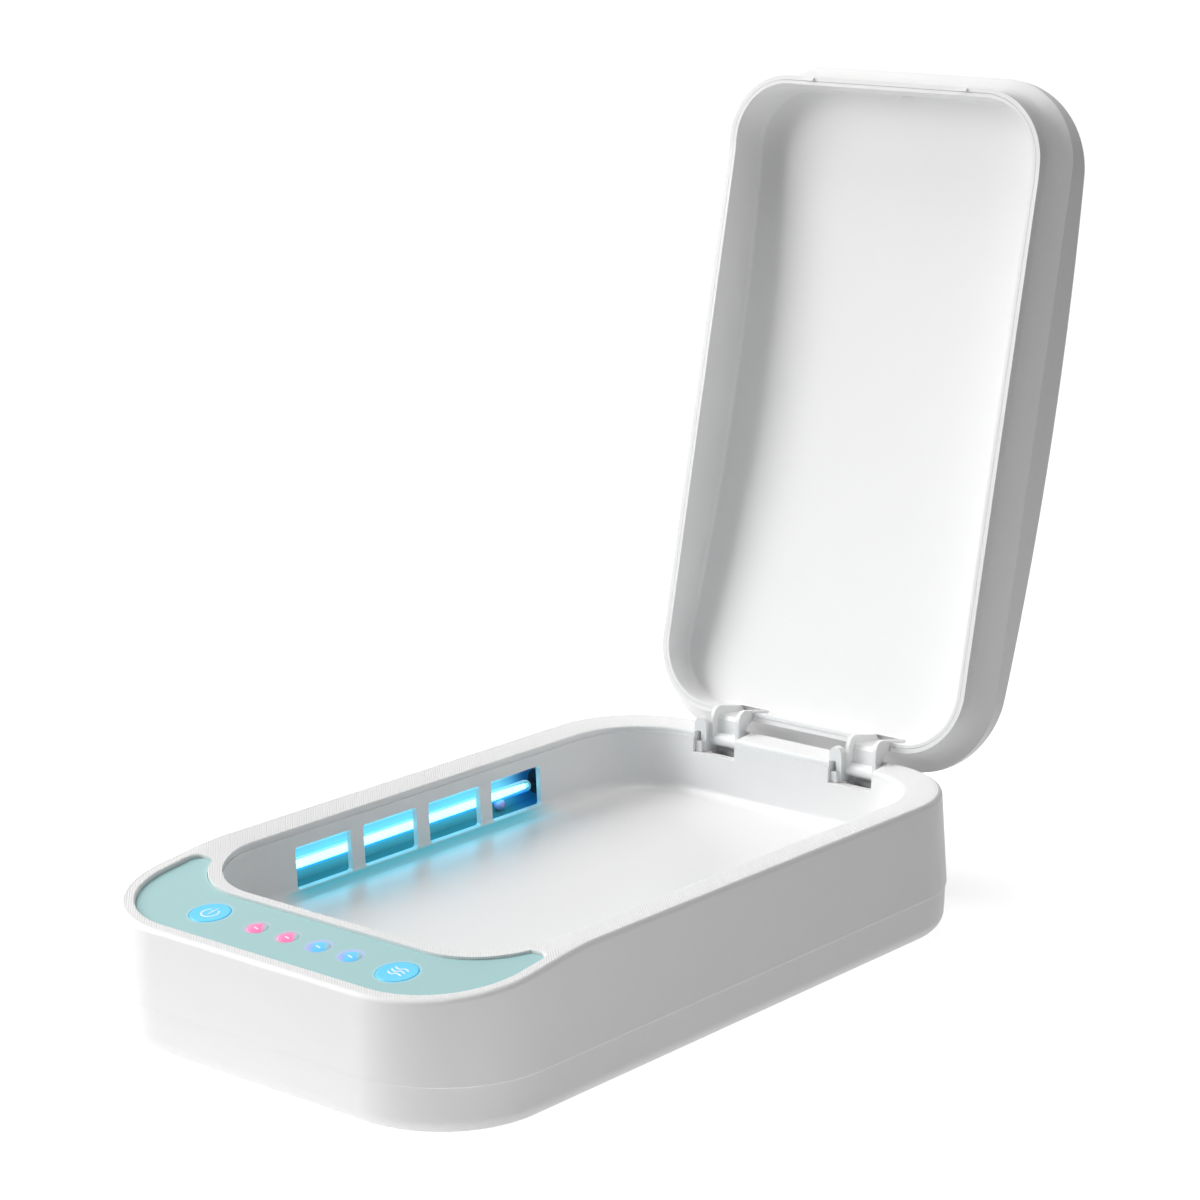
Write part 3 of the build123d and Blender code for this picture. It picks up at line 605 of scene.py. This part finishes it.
def painted_panel_halos(material):
    """Painted light: halos of the lenses and buttons painted as a glow on the panel round them."""
    nodes, link = material.node_tree.nodes, material.node_tree.links.new
    shader = nodes["Principled BSDF"]
    parts = object_place(nodes, link)

    def halo(x, y, edges, tint):
        across = math(nodes, link, "SUBTRACT", parts.outputs["X"], x * MM)
        along = math(nodes, link, "SUBTRACT", parts.outputs["Y"], y * MM)
        squares = [math(nodes, link, "POWER", side, 2.0) for side in (across, along)]
        span = math(nodes, link, "SQRT", math(nodes, link, "ADD", *squares))
        near = smooth_range(nodes, link, span, *edges)
        return ramp(nodes, link, near, [(0.0, (0, 0, 0)), (1.0, tint)])

    halos = []
    for x, y in (POWER_PLACE, WAVE_PLACE):
        halos.append(halo(x, y - BUTTON_ROW_FRONT, BUTTON_HALO, BUTTON_HALO_TINT))
    for i, tint in enumerate((PINK_HALO_TINT, PINK_HALO_TINT, BLUE_HALO_TINT, BLUE_HALO_TINT)):
        x = LENS_FIRST + LENS_PITCH * i - HALO_SHIFT
        halos.append(halo(x, LENS_ROW - HALO_ROW_FRONT, LENS_HALO, tint))
    total = halos[0]
    for light in halos[1:]:
        both = nodes.new("ShaderNodeVectorMath")
        link(total, both.inputs[0])
        link(light, both.inputs[1])
        total = both.outputs[0]
    # The painted halos make the panel glow, though it is no lamp
    link(total, shader.inputs["Emission Color"])
    shader.inputs["Emission Strength"].default_value = 1.0


def make_materials(finishes):
    """Build every finish of the object once."""
    moulded_grain_group()
    plastic("case_plastic", finishes.case, 0.42, grain=3200, bump=0.05)
    plastic("lid_plastic", finishes.lid, 0.40, grain=3000, bump=0.04)
    plastic("tray_plastic", finishes.tray, 0.30, grain=2600, bump=0.03)
    plastic("panel_plastic", finishes.panel, 0.38, grain=3600, bump=0.015, waves=0.3)
    button = plastic("button_plastic", finishes.button, 0.3, grain=3600, bump=0.015, waves=0.3)
    caps = button.node_tree.nodes["Principled BSDF"]
    caps.inputs["Emission Color"].default_value = (*finishes.button, 1)
    caps.inputs["Emission Strength"].default_value = 0.15
    plastic("mark_white", (0.93, 0.97, 1.0), 0.35, grain=3600, bump=0.02)
    for tint, deep, bright, halo, clear in (
        ("pink", (0.95, 0.19, 0.43), finishes.pink, (0.72, 0.5, 0.66), (0.30, 0.52, 0.55)),
        ("blue", (0.10, 0.52, 0.93), finishes.blue, (0.45, 0.4, 0.9), (0.30, 0.52, 0.56)),
    ):
        lens_finish(f"{tint}_lens_plastic", deep, bright, halo, clear)
    plastic("board_mask", (0.02, 0.16, 0.07), 0.3, grain=1500, bump=0.1)
    plastic("switch_plastic", (0.02, 0.02, 0.022), 0.5, grain=2000, bump=0.1)
    plastic("led_plastic", (0.8, 0.8, 0.84), 0.15, grain=2000, bump=0.02)
    plastic("carrier_plastic", (0.7, 0.71, 0.72), 0.5, grain=2000, bump=0.1)
    plastic("winding_tape", (0.03, 0.028, 0.03), 0.4, grain=700, bump=0.2)
    plastic("capacitor_sleeve", (0.02, 0.03, 0.09), 0.25, grain=1800, bump=0.03)
    plastic("foot_rubber", (0.16, 0.165, 0.17), 0.8, grain=1400, bump=0.35, waves=0.2, mottle=0.1)
    plastic("sleeve_rubber", (0.03, 0.045, 0.055), 0.6, grain=1600, bump=0.2)
    metal("zinc_plate", (0.62, 0.62, 0.64))
    metal("tin_plate", (0.72, 0.73, 0.75), 0.25)
    metal("electrode_metal", (0.22, 0.3, 0.34), 0.25)
    plastic("bead_glass", (0.6, 0.42, 0.75), 0.08, grain=1200, bump=0.02, coat=0.8)
    glowing("lamp_core", finishes.lamp, 6.5)
    lamp_glass("lamp_tube", TUBE_PAINTED_BAND_STOPS, middle=0.12, outline=0.95, strength=0.8)
    painted_reflector("mirror_sheet")
    painted_tray_lamp_light(bpy.data.materials["tray_plastic"])
    painted_panel_halos(bpy.data.materials["panel_plastic"])


NODE_FINISH = {
    "control_board": "board_mask",
    "tact_switches": "switch_plastic",
    "indicator_leds": "led_plastic",
    "board_carrier": "carrier_plastic",
    "left_lamp_sleeves": "sleeve_rubber",
    "left_mirror": "mirror_sheet",
    "right_lamp_sleeves": "sleeve_rubber",
    "right_mirror": "mirror_sheet",
    "driver_board": "board_mask",
    "transformer": "winding_tape",
    "capacitors": "capacitor_sleeve",
    "power_inlet": "tin_plate",
    "case_screws": "zinc_plate",
    "hinge_pins": "zinc_plate",
}


# Form of the case top, in millimetres


HEAD_START = -64.5
HEAD_SLOPE = 0.12
HEAD_BLEND = 6.0
HEAD_MIDDLE = Vector((0, -98, 37.98)) * MM
HEAD_PLANE = Matrix.Translation(HEAD_MIDDLE) @ Matrix.Rotation(atan(HEAD_SLOPE), 4, "X")
PARTING_HEIGHT = 15.0
RIM_HEIGHT = 42.0
SEAM_BEVEL = 0.22
# Outlines: width, length, corner radius and how far the middle lies towards the hinge
CASE = (135.0, 228.0, 32.0, 0.0)
OPENING = (111.4, 185.9, 24.0, 9.85)
RIM = (131.8, 224.9, 30.0, -0.85)
# Ribbed band with its dished slope towards the opening
RIB_COUNT = 394
CUTS_PER_RIB = 4
CUTS_ALONG = 158
DISH_DEPTH, DISH_WIDTH, DISH_OVERRUN = 0.75, 8.6, 1.2
# Slab that carves the band, and how far its faces may lie past the rim and into the opening
STRAY_OUTSIDE, STRAY_INSIDE = 1.0, -2.5
TOOL_HEIGHT = 6.0
TRIM_START, TRIM_HEIGHT = 25.0, 40.0
# Where an edge counts as a top edge or a seam edge
EDGE_BAND = (-0.95, 0.05)
PANEL_INSIDE, HINGE_START = -1.7, 103.5
NEAR, SEAM_BAND = 0.05, 0.01


def on_head(x, y):
    """The place of a point on the sloped head, in millimetres."""
    return HEAD_PLANE @ Matrix.Translation(Vector((x, y, 0)) * MM)


def head_drop(y):
    """How far the sloped head lies under the flat rim, in millimetres."""
    run = np.maximum(0.0, HEAD_START + HEAD_BLEND - y)
    return HEAD_SLOPE * np.where(run < 2 * HEAD_BLEND, run**2 / (4 * HEAD_BLEND), run - HEAD_BLEND)


def outside(x, y, width, length, corner, shift):
    """Distance outside a rounded rectangle, negative inside, in millimetres."""
    px = np.abs(x) - (width / 2 - corner)
    py = np.abs(y - shift) - (length / 2 - corner)
    past, within = np.hypot(np.maximum(px, 0), np.maximum(py, 0)), np.maximum(px, py)
    return past + np.minimum(within, 0) - corner


def ribbed_tool(ribs):
    """A slab whose underside is the ribbed, dished and sloped band, for carving the case top."""
    pitch, depth, border = ribs.pitch / MM, ribs.depth / MM, ribs.border / MM
    span = RIB_COUNT * pitch
    release()
    bpy.ops.mesh.primitive_grid_add(
        x_subdivisions=RIB_COUNT * CUTS_PER_RIB, y_subdivisions=CUTS_ALONG, size=1
    )
    slab = bpy.context.object
    slab.name = "ribbed_tool"
    mesh = slab.data
    spots = np.empty(len(mesh.vertices) * 3)
    mesh.vertices.foreach_get("co", spots)
    spots = spots.reshape(-1, 3) * span
    u, v = spots[:, 0].copy(), spots[:, 1].copy()
    x, y = (u + v) / sqrt(2), (u - v) / sqrt(2)
    dish = DISH_DEPTH * np.clip(1 - outside(x, y, *OPENING) / DISH_WIDTH, 0, DISH_OVERRUN)
    valley = depth * (0.5 - 0.5 * np.cos(2 * pi * u / pitch))
    z = RIM_HEIGHT - head_drop(y) - dish - valley
    mesh.vertices.foreach_set("co", (np.column_stack([x, y, z]) * MM).ravel())
    middles = np.empty(len(mesh.polygons) * 3)
    mesh.polygons.foreach_get("center", middles)
    middles = middles.reshape(-1, 3) / MM
    x, y = middles[:, 0], middles[:, 1]
    stray = (outside(x, y, *RIM) > STRAY_OUTSIDE) | (outside(x, y, *OPENING) < STRAY_INSIDE)
    for part in (mesh.vertices, mesh.edges):
        part.foreach_set("select", np.zeros(len(part), bool))
    mesh.polygons.foreach_set("select", stray)
    bpy.context.tool_settings.mesh_select_mode = (False, False, True)
    bpy.ops.object.mode_set(mode="EDIT")
    bpy.ops.mesh.delete(type="FACE")
    bpy.ops.mesh.select_all(action="SELECT")
    raise_face(TOOL_HEIGHT)
    bpy.context.tool_settings.mesh_select_mode = (True, False, False)
    close_up(slab)
    width, length, corner, shift = RIM
    middle = (0, shift, TRIM_START)
    trim = add_plate("trim", width - 2 * border, length - 2 * border, corner - border, middle, 48)
    raise_face(TRIM_HEIGHT)
    close_up(trim)
    return combine(slab, trim, "INTERSECT")


def bevel_selected(piece, width, segments):
    """Bevel the selected edges of a piece by a width in millimetres."""
    bpy.context.tool_settings.mesh_select_mode = (False, True, False)
    bpy.ops.object.mode_set(mode="EDIT")
    bpy.ops.mesh.bevel(offset=width * MM, segments=segments, affect="EDGES", clamp_overlap=False)
    bpy.ops.object.mode_set(mode="OBJECT")
    bpy.context.tool_settings.mesh_select_mode = (True, False, False)
    return piece


def clear_selection(piece):
    """Leave a piece active with none of its points, edges or faces selected."""
    only(piece)
    bpy.ops.object.mode_set(mode="EDIT")
    bpy.ops.mesh.select_all(action="DESELECT")
    bpy.ops.object.mode_set(mode="OBJECT")


def round_top_edges(piece, width):
    """Round the edges where the tray opening and the panel recess break the case top."""
    clear_selection(piece)
    edges = bmesh.new()
    edges.from_mesh(piece.data)
    low, high = EDGE_BAND

    def on_top_edge(spot):
        over = spot.z - RIM_HEIGHT + head_drop(spot.y)
        inside = outside(spot.x, spot.y, *RIM) < PANEL_INSIDE and spot.y < HINGE_START
        return inside and low < over < high

    for edge in edges.edges:
        if len(edge.link_faces) == 2 and edge.calc_face_angle_signed() >= TOP_EDGE_ANGLE:
            edge.select_set(all(on_top_edge(v.co / MM) for v in edge.verts))
    edges.to_mesh(piece.data)
    edges.free()
    return bevel_selected(piece, width, 4)


def seam_bevel(piece, width):
    """Bevel the outer edge of a case shell where the two shells meet."""
    clear_selection(piece)
    for edge in piece.data.edges:
        ends = [piece.data.vertices[i].co / MM for i in edge.vertices]
        edge.select = all(
            abs(e.z - PARTING_HEIGHT) < SEAM_BAND and outside(e.x, e.y, *CASE) > -NEAR for e in ends
        )
    return bevel_selected(piece, width, 2)


def round_bend(piece, bends, width):
    """Round the edges across an arm that pass through points (y, z) of its side view."""
    merge_flat_faces(piece)
    for edge in piece.data.edges:
        ends = [piece.data.vertices[i].co / MM for i in edge.vertices]
        edge.select = any(all(hypot(e.y - y, e.z - z) < NEAR for e in ends) for y, z in bends)
    return bevel_selected(piece, width, 5)


# Sizes of the small pieces, in millimetres. Turned shapes are pairs of a radius and a height


LAMP_X, LAMP_Z = 60.2, 28.9
LAMP_RADIUS = 1.8
LAMP_TUBE = [
    (0.6, -46.0), (1.2, -45.8), (1.6, -45.3), (1.78, -44.7), (1.8, -44.0),
    (1.8, 58.0), (1.78, 58.7), (1.6, 59.3), (1.2, 59.8), (0.6, 60.0),
]
LAMP_CORE = [
    (0.3, -44.4), (0.7, -44.0), (0.85, -42.0), (1.2, -36.0), (1.2, 40.0),
    (1.1, 48.0), (0.85, 56.0), (0.75, 58.4), (0.3, 58.8),
]
ELECTRODES = (
    [
        (0.5, 58.9), (1.15, 59.0), (1.25, 59.3), (1.25, 61.2),
        (1.05, 61.4), (1.05, 62.2), (1.3, 62.4), (1.3, 63.3),
    ],
    [(1.3, -46.1), (1.3, -45.9), (1.25, -45.2), (1.15, -44.9), (0.5, -44.8)],
)
BEAD_X, BEAD_Y, BEAD_Z = 61.3, 48.3, 25.5
BEAD_STEPS = [(1.75 * cos(a), 1.75 * sin(a)) for a in np.linspace(-1.45, 1.45, 15)]
TRAY_EDGE = 39.3
TRAY_LIFT = 0.12
PANEL_BEVEL = 0.22
LENS_FIRST, LENS_PITCH, LENS_RADIUS, LENS_ROW = -14.6, 10.9, 2.9, 0.9
LENS_STEPS = [
    (2.9, -4.4), (2.9, -1.35), (2.84, -1.21), (2.66, -1.12), (2.3, -1.03), (1.8, -0.97),
    (1.2, -0.93), (0.6, -0.915), (0.15, -0.91),
]
LENS_TOP = -0.94
# Place and facing of each round mark in the lid's dish
MOULD_MARKS = (
    ((1.3, 122.49, 48.48), (0, -0.938, 0.347)),
    ((-0.1, 162.52, 225.31), (0, -0.996, 0.092)),
)
MOULD_MARK = [(2.8, -0.05), (3.1, 0.8)]
LENS_MARK = [(-0.75, -0.1), (-0.2, -0.3), (0.45, -0.45), (1.1, -0.7)]
LENS_MARK_WIDTH = 0.6
BUTTON_STEPS = [
    (6.6, -4.6), (6.6, -3.55), (5.4, -3.55), (5.4, -1.38), (5.37, -1.24), (5.28, -1.14),
    (5.13, -1.09), (4.95, -1.08), (4.7, -1.09), (3.8, -1.12), (2.5, -1.14), (1.2, -1.15),
]
BUTTON_TOP = -1.13
POWER_PLACE = (-32.0, 1.4)
WAVE_PLACE = (34.3, 0.3)
MARK_WIDTH = 0.5
MARK_THICKNESS = 0.05
POWER_MARK = [
    [(2.3 * cos(radians(a)), 2.3 * sin(radians(a))) for a in np.linspace(122, 418, 17)],
    [(0, 3.0), (0, 1.7), (0, 0.4), (0, -0.75)],
]
WAVE = [
    (-2.4924, 0.4185), (-1.7112, -0.093), (-0.8835, -0.3906), (-0.279, -0.2604), (0.093, 0.1116),
    (0.558, 0.3348), (1.116, 0.3348), (1.767, 0.093), (2.3715, -0.2046),
]
WAVE_RISES = (1.7856, 0.3255, -1.116)
# Bend of an arm in its side view, from front to back and upwards
ARM_BEND = ((106.27, 46.63), (108.47, 48.83))
ARM_BEND_WIDTH = 1.45
ARM_EDGE = 0.35
POST_EDGE = 0.25


class STERILISER_OT_case(bpy.types.Operator):
    """Carve the diagonal ribs into the upper housing and finish both case shells"""

    bl_idname = "steriliser.case"
    bl_label = "Case shells"

    def execute(self, context):
        ribs = context.scene.steriliser_ribs
        housing = seam_bevel(merged_copy("ribbed_case_top", "upper_housing"), SEAM_BEVEL)
        round_top_edges(housing, ribs.lip / MM)
        combine(housing, ribbed_tool(ribs))
        dress(housing, "housing", "case_plastic", ["upper_housing"], angle=50)
        shell = seam_bevel(merged_copy("case_bottom", "bottom_shell"), SEAM_BEVEL)
        dress(shell, "housing", "case_plastic", ["bottom_shell"])
        feet = merged_copy("feet", "rubber_feet")
        dress(feet, "housing", "foot_rubber", ["rubber_feet"])
        return {"FINISHED"}


class STERILISER_OT_tray(bpy.types.Operator):
    """Finish the tray liner with its lamp windows"""

    bl_idname = "steriliser.tray"
    bl_label = "Tray"

    def execute(self, context):
        tray = merged_copy("tray", "tray_liner")
        clear_selection(tray)
        for point in tray.data.vertices:
            point.select = point.co.z > TRAY_EDGE * MM
        bpy.ops.object.mode_set(mode="EDIT")
        bpy.ops.transform.translate(value=(0, 0, TRAY_LIFT * MM))
        bpy.ops.object.mode_set(mode="OBJECT")
        dress(tray, "housing", "tray_plastic", ["tray_liner"])
        return {"FINISHED"}


class STERILISER_OT_lamps(bpy.types.Operator):
    """Make the glass tubes, their glowing cores, electrodes and the beads under them"""

    bl_idname = "steriliser.lamps"
    bl_label = "Lamps"

    def execute(self, context):
        axes, spots = [], []
        for side in (-1, 1):
            turn = Matrix.Rotation(-pi / 2, 4, "X")
            axes.append(Matrix.Translation(Vector((side * LAMP_X, 0, LAMP_Z)) * MM) @ turn)
            spots.append(Matrix.Translation(Vector((side * BEAD_X, BEAD_Y, BEAD_Z)) * MM))
        ends = [turned("end", steps, 32) for steps in ELECTRODES]
        for label, shape, places, finish, slot in (
            ("tube", turned("tube", LAMP_TUBE, 64), axes, "lamp_tube", "lamp_glass"),
            ("core", turned("core", LAMP_CORE, 32), axes, "lamp_core", "lamp_glass"),
            ("electrodes", join("electrodes", ends), axes, "electrode_metal", "sleeve_grey"),
            ("bead", turned("bead", BEAD_STEPS, 32), spots, "bead_glass", "lamp_glass"),
        ):
            pair = repeated(shape, [(f"left_{label}", places[0]), (f"right_{label}", places[1])])
            for side, piece in zip(("left", "right"), pair):
                nodes = [f"{side}_lamp"] if label == "tube" else []
                dress(piece, "housing", finish, nodes)
        return {"FINISHED"}


class STERILISER_OT_panel(bpy.types.Operator):
    """Finish the aqua crescent panel and make its four domed lenses"""

    bl_idname = "steriliser.panel"
    bl_label = "Control panel"

    def execute(self, context):
        panel = soften(merged_copy("panel", "control_panel"), PANEL_BEVEL)
        dress(panel, "housing", "panel_plastic", ["control_panel"])
        spots = [on_head(LENS_FIRST + LENS_PITCH * i, LENS_ROW) for i in range(4)]
        lenses = repeated(turned("lens", LENS_STEPS, 64), [("lens", spot) for spot in spots])
        for tint, pair in (("pink", lenses[:2]), ("blue", lenses[2:])):
            both = join(f"{tint}_indicators", pair)
            dress(both, "housing", f"{tint}_lens_plastic", [f"{tint}_lenses"])
        top = Matrix.Translation((0, 0, LENS_TOP * MM))
        shape = stroke("mark", LENS_MARK, LENS_MARK_WIDTH)
        marks = repeated(shape, [("mark", spot @ top) for spot in spots])
        dress(join("lens_marks", marks), "housing", "mark_white")
        return {"FINISHED"}


class STERILISER_OT_buttons(bpy.types.Operator):
    """Make the two push buttons and their white marks"""

    bl_idname = "steriliser.buttons"
    bl_label = "Buttons"

    def execute(self, context):
        places = {"power_button": on_head(*POWER_PLACE), "wave_button": on_head(*WAVE_PLACE)}
        caps = [(f"{button}_cap", place) for button, place in places.items()]
        for button, cap in zip(places, repeated(turned("cap", BUTTON_STEPS), caps)):
            dress(cap, button, "button_plastic", [button])
        top = Matrix.Translation((0, 0, BUTTON_TOP * MM))
        power_mark = []
        for line in POWER_MARK:
            spot = ("line", places["power_button"] @ top)
            power_mark += repeated(stroke("line", line, MARK_WIDTH), [spot])
        rises = [Matrix.Translation((0, rise * MM, 0)) for rise in WAVE_RISES]
        spots = [("line", places["wave_button"] @ top @ rise) for rise in rises]
        wave_mark = repeated(stroke("line", WAVE, MARK_WIDTH), spots)
        for button, lines in (("power_button", power_mark), ("wave_button", wave_mark)):
            dress(join(f"{button}_mark", lines), button, "mark_white")
        return {"FINISHED"}


class STERILISER_OT_lid(bpy.types.Operator):
    """Finish the lid shell and its dished liner"""

    bl_idname = "steriliser.lid"
    bl_label = "Lid"

    def execute(self, context):
        shell = merged_copy("lid_cover", "lid_shell")
        dress(shell, "lid", "lid_plastic", ["lid_shell"])
        liner = merged_copy("lid_dish", "lid_liner")
        places = []
        for spot, facing in MOULD_MARKS:
            turn = Vector(facing).to_track_quat("Z", "Y").to_matrix().to_4x4()
            places.append(("mould_mark", Matrix.Translation(Vector(spot) * MM) @ turn))
        for tool in repeated(turned("mould_mark", MOULD_MARK, 48), places):
            combine(liner, tool)
        dress(liner, "lid", "lid_plastic", ["lid_liner"])
        return {"FINISHED"}


class STERILISER_OT_hinges(bpy.types.Operator):
    """Finish the hinge arms and their bearing posts"""

    bl_idname = "steriliser.hinges"
    bl_label = "Hinges"

    def execute(self, context):
        for side in ("left", "right"):
            node = f"{side}_hinge_arm"
            arm = round_bend(merged_copy(f"{side}_arm", node), ARM_BEND, ARM_BEND_WIDTH)
            dress(soften(arm, ARM_EDGE, 3), "lid", "lid_plastic", [node])
        posts = soften(merged_copy("posts", "bearing_posts"), POST_EDGE)
        dress(posts, "housing", "case_plastic", ["bearing_posts"])
        return {"FINISHED"}


class STERILISER_OT_inside(bpy.types.Operator):
    """Give the boards, fittings and screws inside their finishes"""

    bl_idname = "steriliser.inside"
    bl_label = "Fittings inside"

    def execute(self, context):
        for node, finish in NODE_FINISH.items():
            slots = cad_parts[node].data.materials
            slots.clear()
            slots.append(bpy.data.materials[finish])
        return {"FINISHED"}


# The stage, in metres and degrees


FLOOR_CENTRE = (0.04, -0.02, 0)
FLOOR_FADE = (0.2, 0.7)
LARGE_SOFTBOXES = {"key": (55, 25), "side": (80, 40), "low": (68, 10), "top": (0, 90)}
CAMERA_PLACE = (0.5618, -0.6559, 0.3181)
CAMERA_TURN, CAMERA_LIFT = 39.7, 13.8
LENS_LENGTH, SENSOR_WIDTH = 100.3, 36


def softbox(name, azimuth, elevation, power, size=1.0, away=1.8, target=(0, 0.03, 0.1)):
    """A square softbox that faces the object from a direction in degrees. Sizes in metres."""
    turn, lift = radians(azimuth), radians(elevation)
    way = Vector((-sin(turn) * cos(lift), -cos(turn) * cos(lift), sin(lift)))
    lamp = bpy.data.lights.new(name, "AREA")
    lamp.shape = "SQUARE"
    lamp.size = size
    lamp.energy = power
    holder = bpy.data.objects.new(name, lamp)
    holder.location = Vector(target) + way * away
    holder.rotation_euler = (-way).to_track_quat("-Z", "Y").to_euler()
    bpy.context.scene.collection.objects.link(holder)


def seen_directly(nodes, link):
    """One for what the camera, mirrors and glass see, and nought for all other rays."""
    path = nodes.new("ShaderNodeLightPath")
    kinds = ("Camera", "Glossy", "Transmission")
    camera, glossy, through = (path.outputs[f"Is {kind} Ray"] for kind in kinds)
    either = math(nodes, link, "MAXIMUM", camera, glossy)
    return math(nodes, link, "MAXIMUM", either, through)


class STERILISER_OT_stage(bpy.types.Operator):
    """Set the floor, the studio light and the camera"""

    bl_idname = "steriliser.stage"
    bl_label = "Stage"

    def execute(self, context):
        settings = context.scene.steriliser_stage
        release()
        bpy.ops.mesh.primitive_plane_add(size=12, location=(0, 2, 0))
        floor = context.object
        floor.name = "floor"
        bpy.ops.object.transform_apply(location=True)
        material, shader, nodes, link = start_material("floor_paper")
        shader.inputs["Roughness"].default_value = 0.9
        shader.inputs["Specular IOR Level"].default_value = 0.1
        shader.inputs["Emission Color"].default_value = (1, 1, 1, 1)
        place = nodes.new("ShaderNodeTexCoord")
        away = nodes.new("ShaderNodeVectorMath")
        away.operation = "DISTANCE"
        away.inputs[1].default_value = FLOOR_CENTRE
        link(place.outputs["Object"], away.inputs[0])

        def by_distance(near, far):
            step = nodes.new("ShaderNodeMapRange")
            step.inputs["From Min"].default_value = FLOOR_FADE[0]
            step.inputs["From Max"].default_value = FLOOR_FADE[1]
            step.inputs["To Min"].default_value = near
            step.inputs["To Max"].default_value = far
            link(away.outputs["Value"], step.inputs["Value"])
            return step.outputs["Result"]

        link(by_distance(0.8, 0.2), shader.inputs["Base Color"])
        direct = seen_directly(nodes, link)
        hidden = math(nodes, link, "SUBTRACT", 1.0, direct)
        shown = math(nodes, link, "MULTIPLY", direct, by_distance(0.74, 1.0))
        level = math(nodes, link, "MULTIPLY_ADD", hidden, by_distance(settings.bounce, 0.05), shown)
        link(level, shader.inputs["Emission Strength"])
        floor.data.materials.append(material)

        world = context.scene.world or bpy.data.worlds.new("studio")
        context.scene.world = world
        world.use_nodes = True
        tree = world.node_tree
        back = tree.nodes["Background"]
        back.inputs["Color"].default_value = (1, 1, 1, 1)
        tree.links.new(seen_directly(tree.nodes, tree.links.new), back.inputs["Strength"])

        for name, (azimuth, elevation) in LARGE_SOFTBOXES.items():
            softbox(name, azimuth, elevation, getattr(settings, name))
        softbox("front", -50, 8, settings.front, size=0.3, away=0.4, target=(0.05, -0.08, 0.02))

        sight = bpy.data.cameras.new("camera")
        camera = bpy.data.objects.new("camera", sight)
        context.scene.collection.objects.link(camera)
        turn, lift = radians(CAMERA_TURN), radians(CAMERA_LIFT)
        way = Vector((sin(turn) * cos(lift), -cos(turn) * cos(lift), sin(lift)))
        camera.location = CAMERA_PLACE
        camera.rotation_euler = (-way).to_track_quat("-Z", "Y").to_euler()
        sight.sensor_width, sight.lens = SENSOR_WIDTH, LENS_LENGTH
        sight.clip_start, sight.clip_end = 0.05, 50
        context.scene.camera = camera
        context.scene.view_settings.view_transform = "Standard"
        return {"FINISHED"}


class STERILISER_PT_panel(bpy.types.Panel):
    """Lists the sizes, colours and steps of the steriliser box."""

    bl_label = "Steriliser box"
    bl_idname = "STERILISER_PT_panel"
    bl_space_type = "VIEW_3D"
    bl_region_type = "UI"
    bl_category = "Steriliser"

    def draw(self, context):
        scene = context.scene
        for group in (scene.steriliser_ribs, scene.steriliser_finishes, scene.steriliser_stage):
            box = self.layout.box()
            for name in group.__annotations__:
                box.prop(group, name)
        for step in STEPS:
            self.layout.operator(step.bl_idname)


STEPS = (
    STERILISER_OT_stage,
    STERILISER_OT_case,
    STERILISER_OT_tray,
    STERILISER_OT_lamps,
    STERILISER_OT_panel,
    STERILISER_OT_buttons,
    STERILISER_OT_lid,
    STERILISER_OT_hinges,
    STERILISER_OT_inside,
)
GROUPS = {
    "steriliser_ribs": RibSizes,
    "steriliser_finishes": Finishes,
    "steriliser_stage": StageSettings,
}


def register():
    """Add the settings, steps and sidebar panel to Blender."""
    for group in GROUPS.values():
        bpy.utils.register_class(group)
    for step in STEPS:
        bpy.utils.register_class(step)
    bpy.utils.register_class(STERILISER_PT_panel)
    for name, group in GROUPS.items():
        setattr(bpy.types.Scene, name, PointerProperty(type=group))


def unregister():
    """Take the settings, steps and sidebar panel out of Blender."""
    for name in GROUPS:
        delattr(bpy.types.Scene, name)
    bpy.utils.unregister_class(STERILISER_PT_panel)
    for step in reversed(STEPS):
        bpy.utils.unregister_class(step)
    for group in reversed(list(GROUPS.values())):
        bpy.utils.unregister_class(group)


def main():
    """Build the stage and every part of the box."""
    register()
    make_materials(bpy.context.scene.steriliser_finishes)
    bpy.ops.steriliser.stage()
    bpy.ops.steriliser.case()
    bpy.ops.steriliser.tray()
    bpy.ops.steriliser.lamps()
    bpy.ops.steriliser.panel()
    bpy.ops.steriliser.buttons()
    bpy.ops.steriliser.lid()
    bpy.ops.steriliser.hinges()
    bpy.ops.steriliser.inside()


if __name__ == "__main__":
    main()
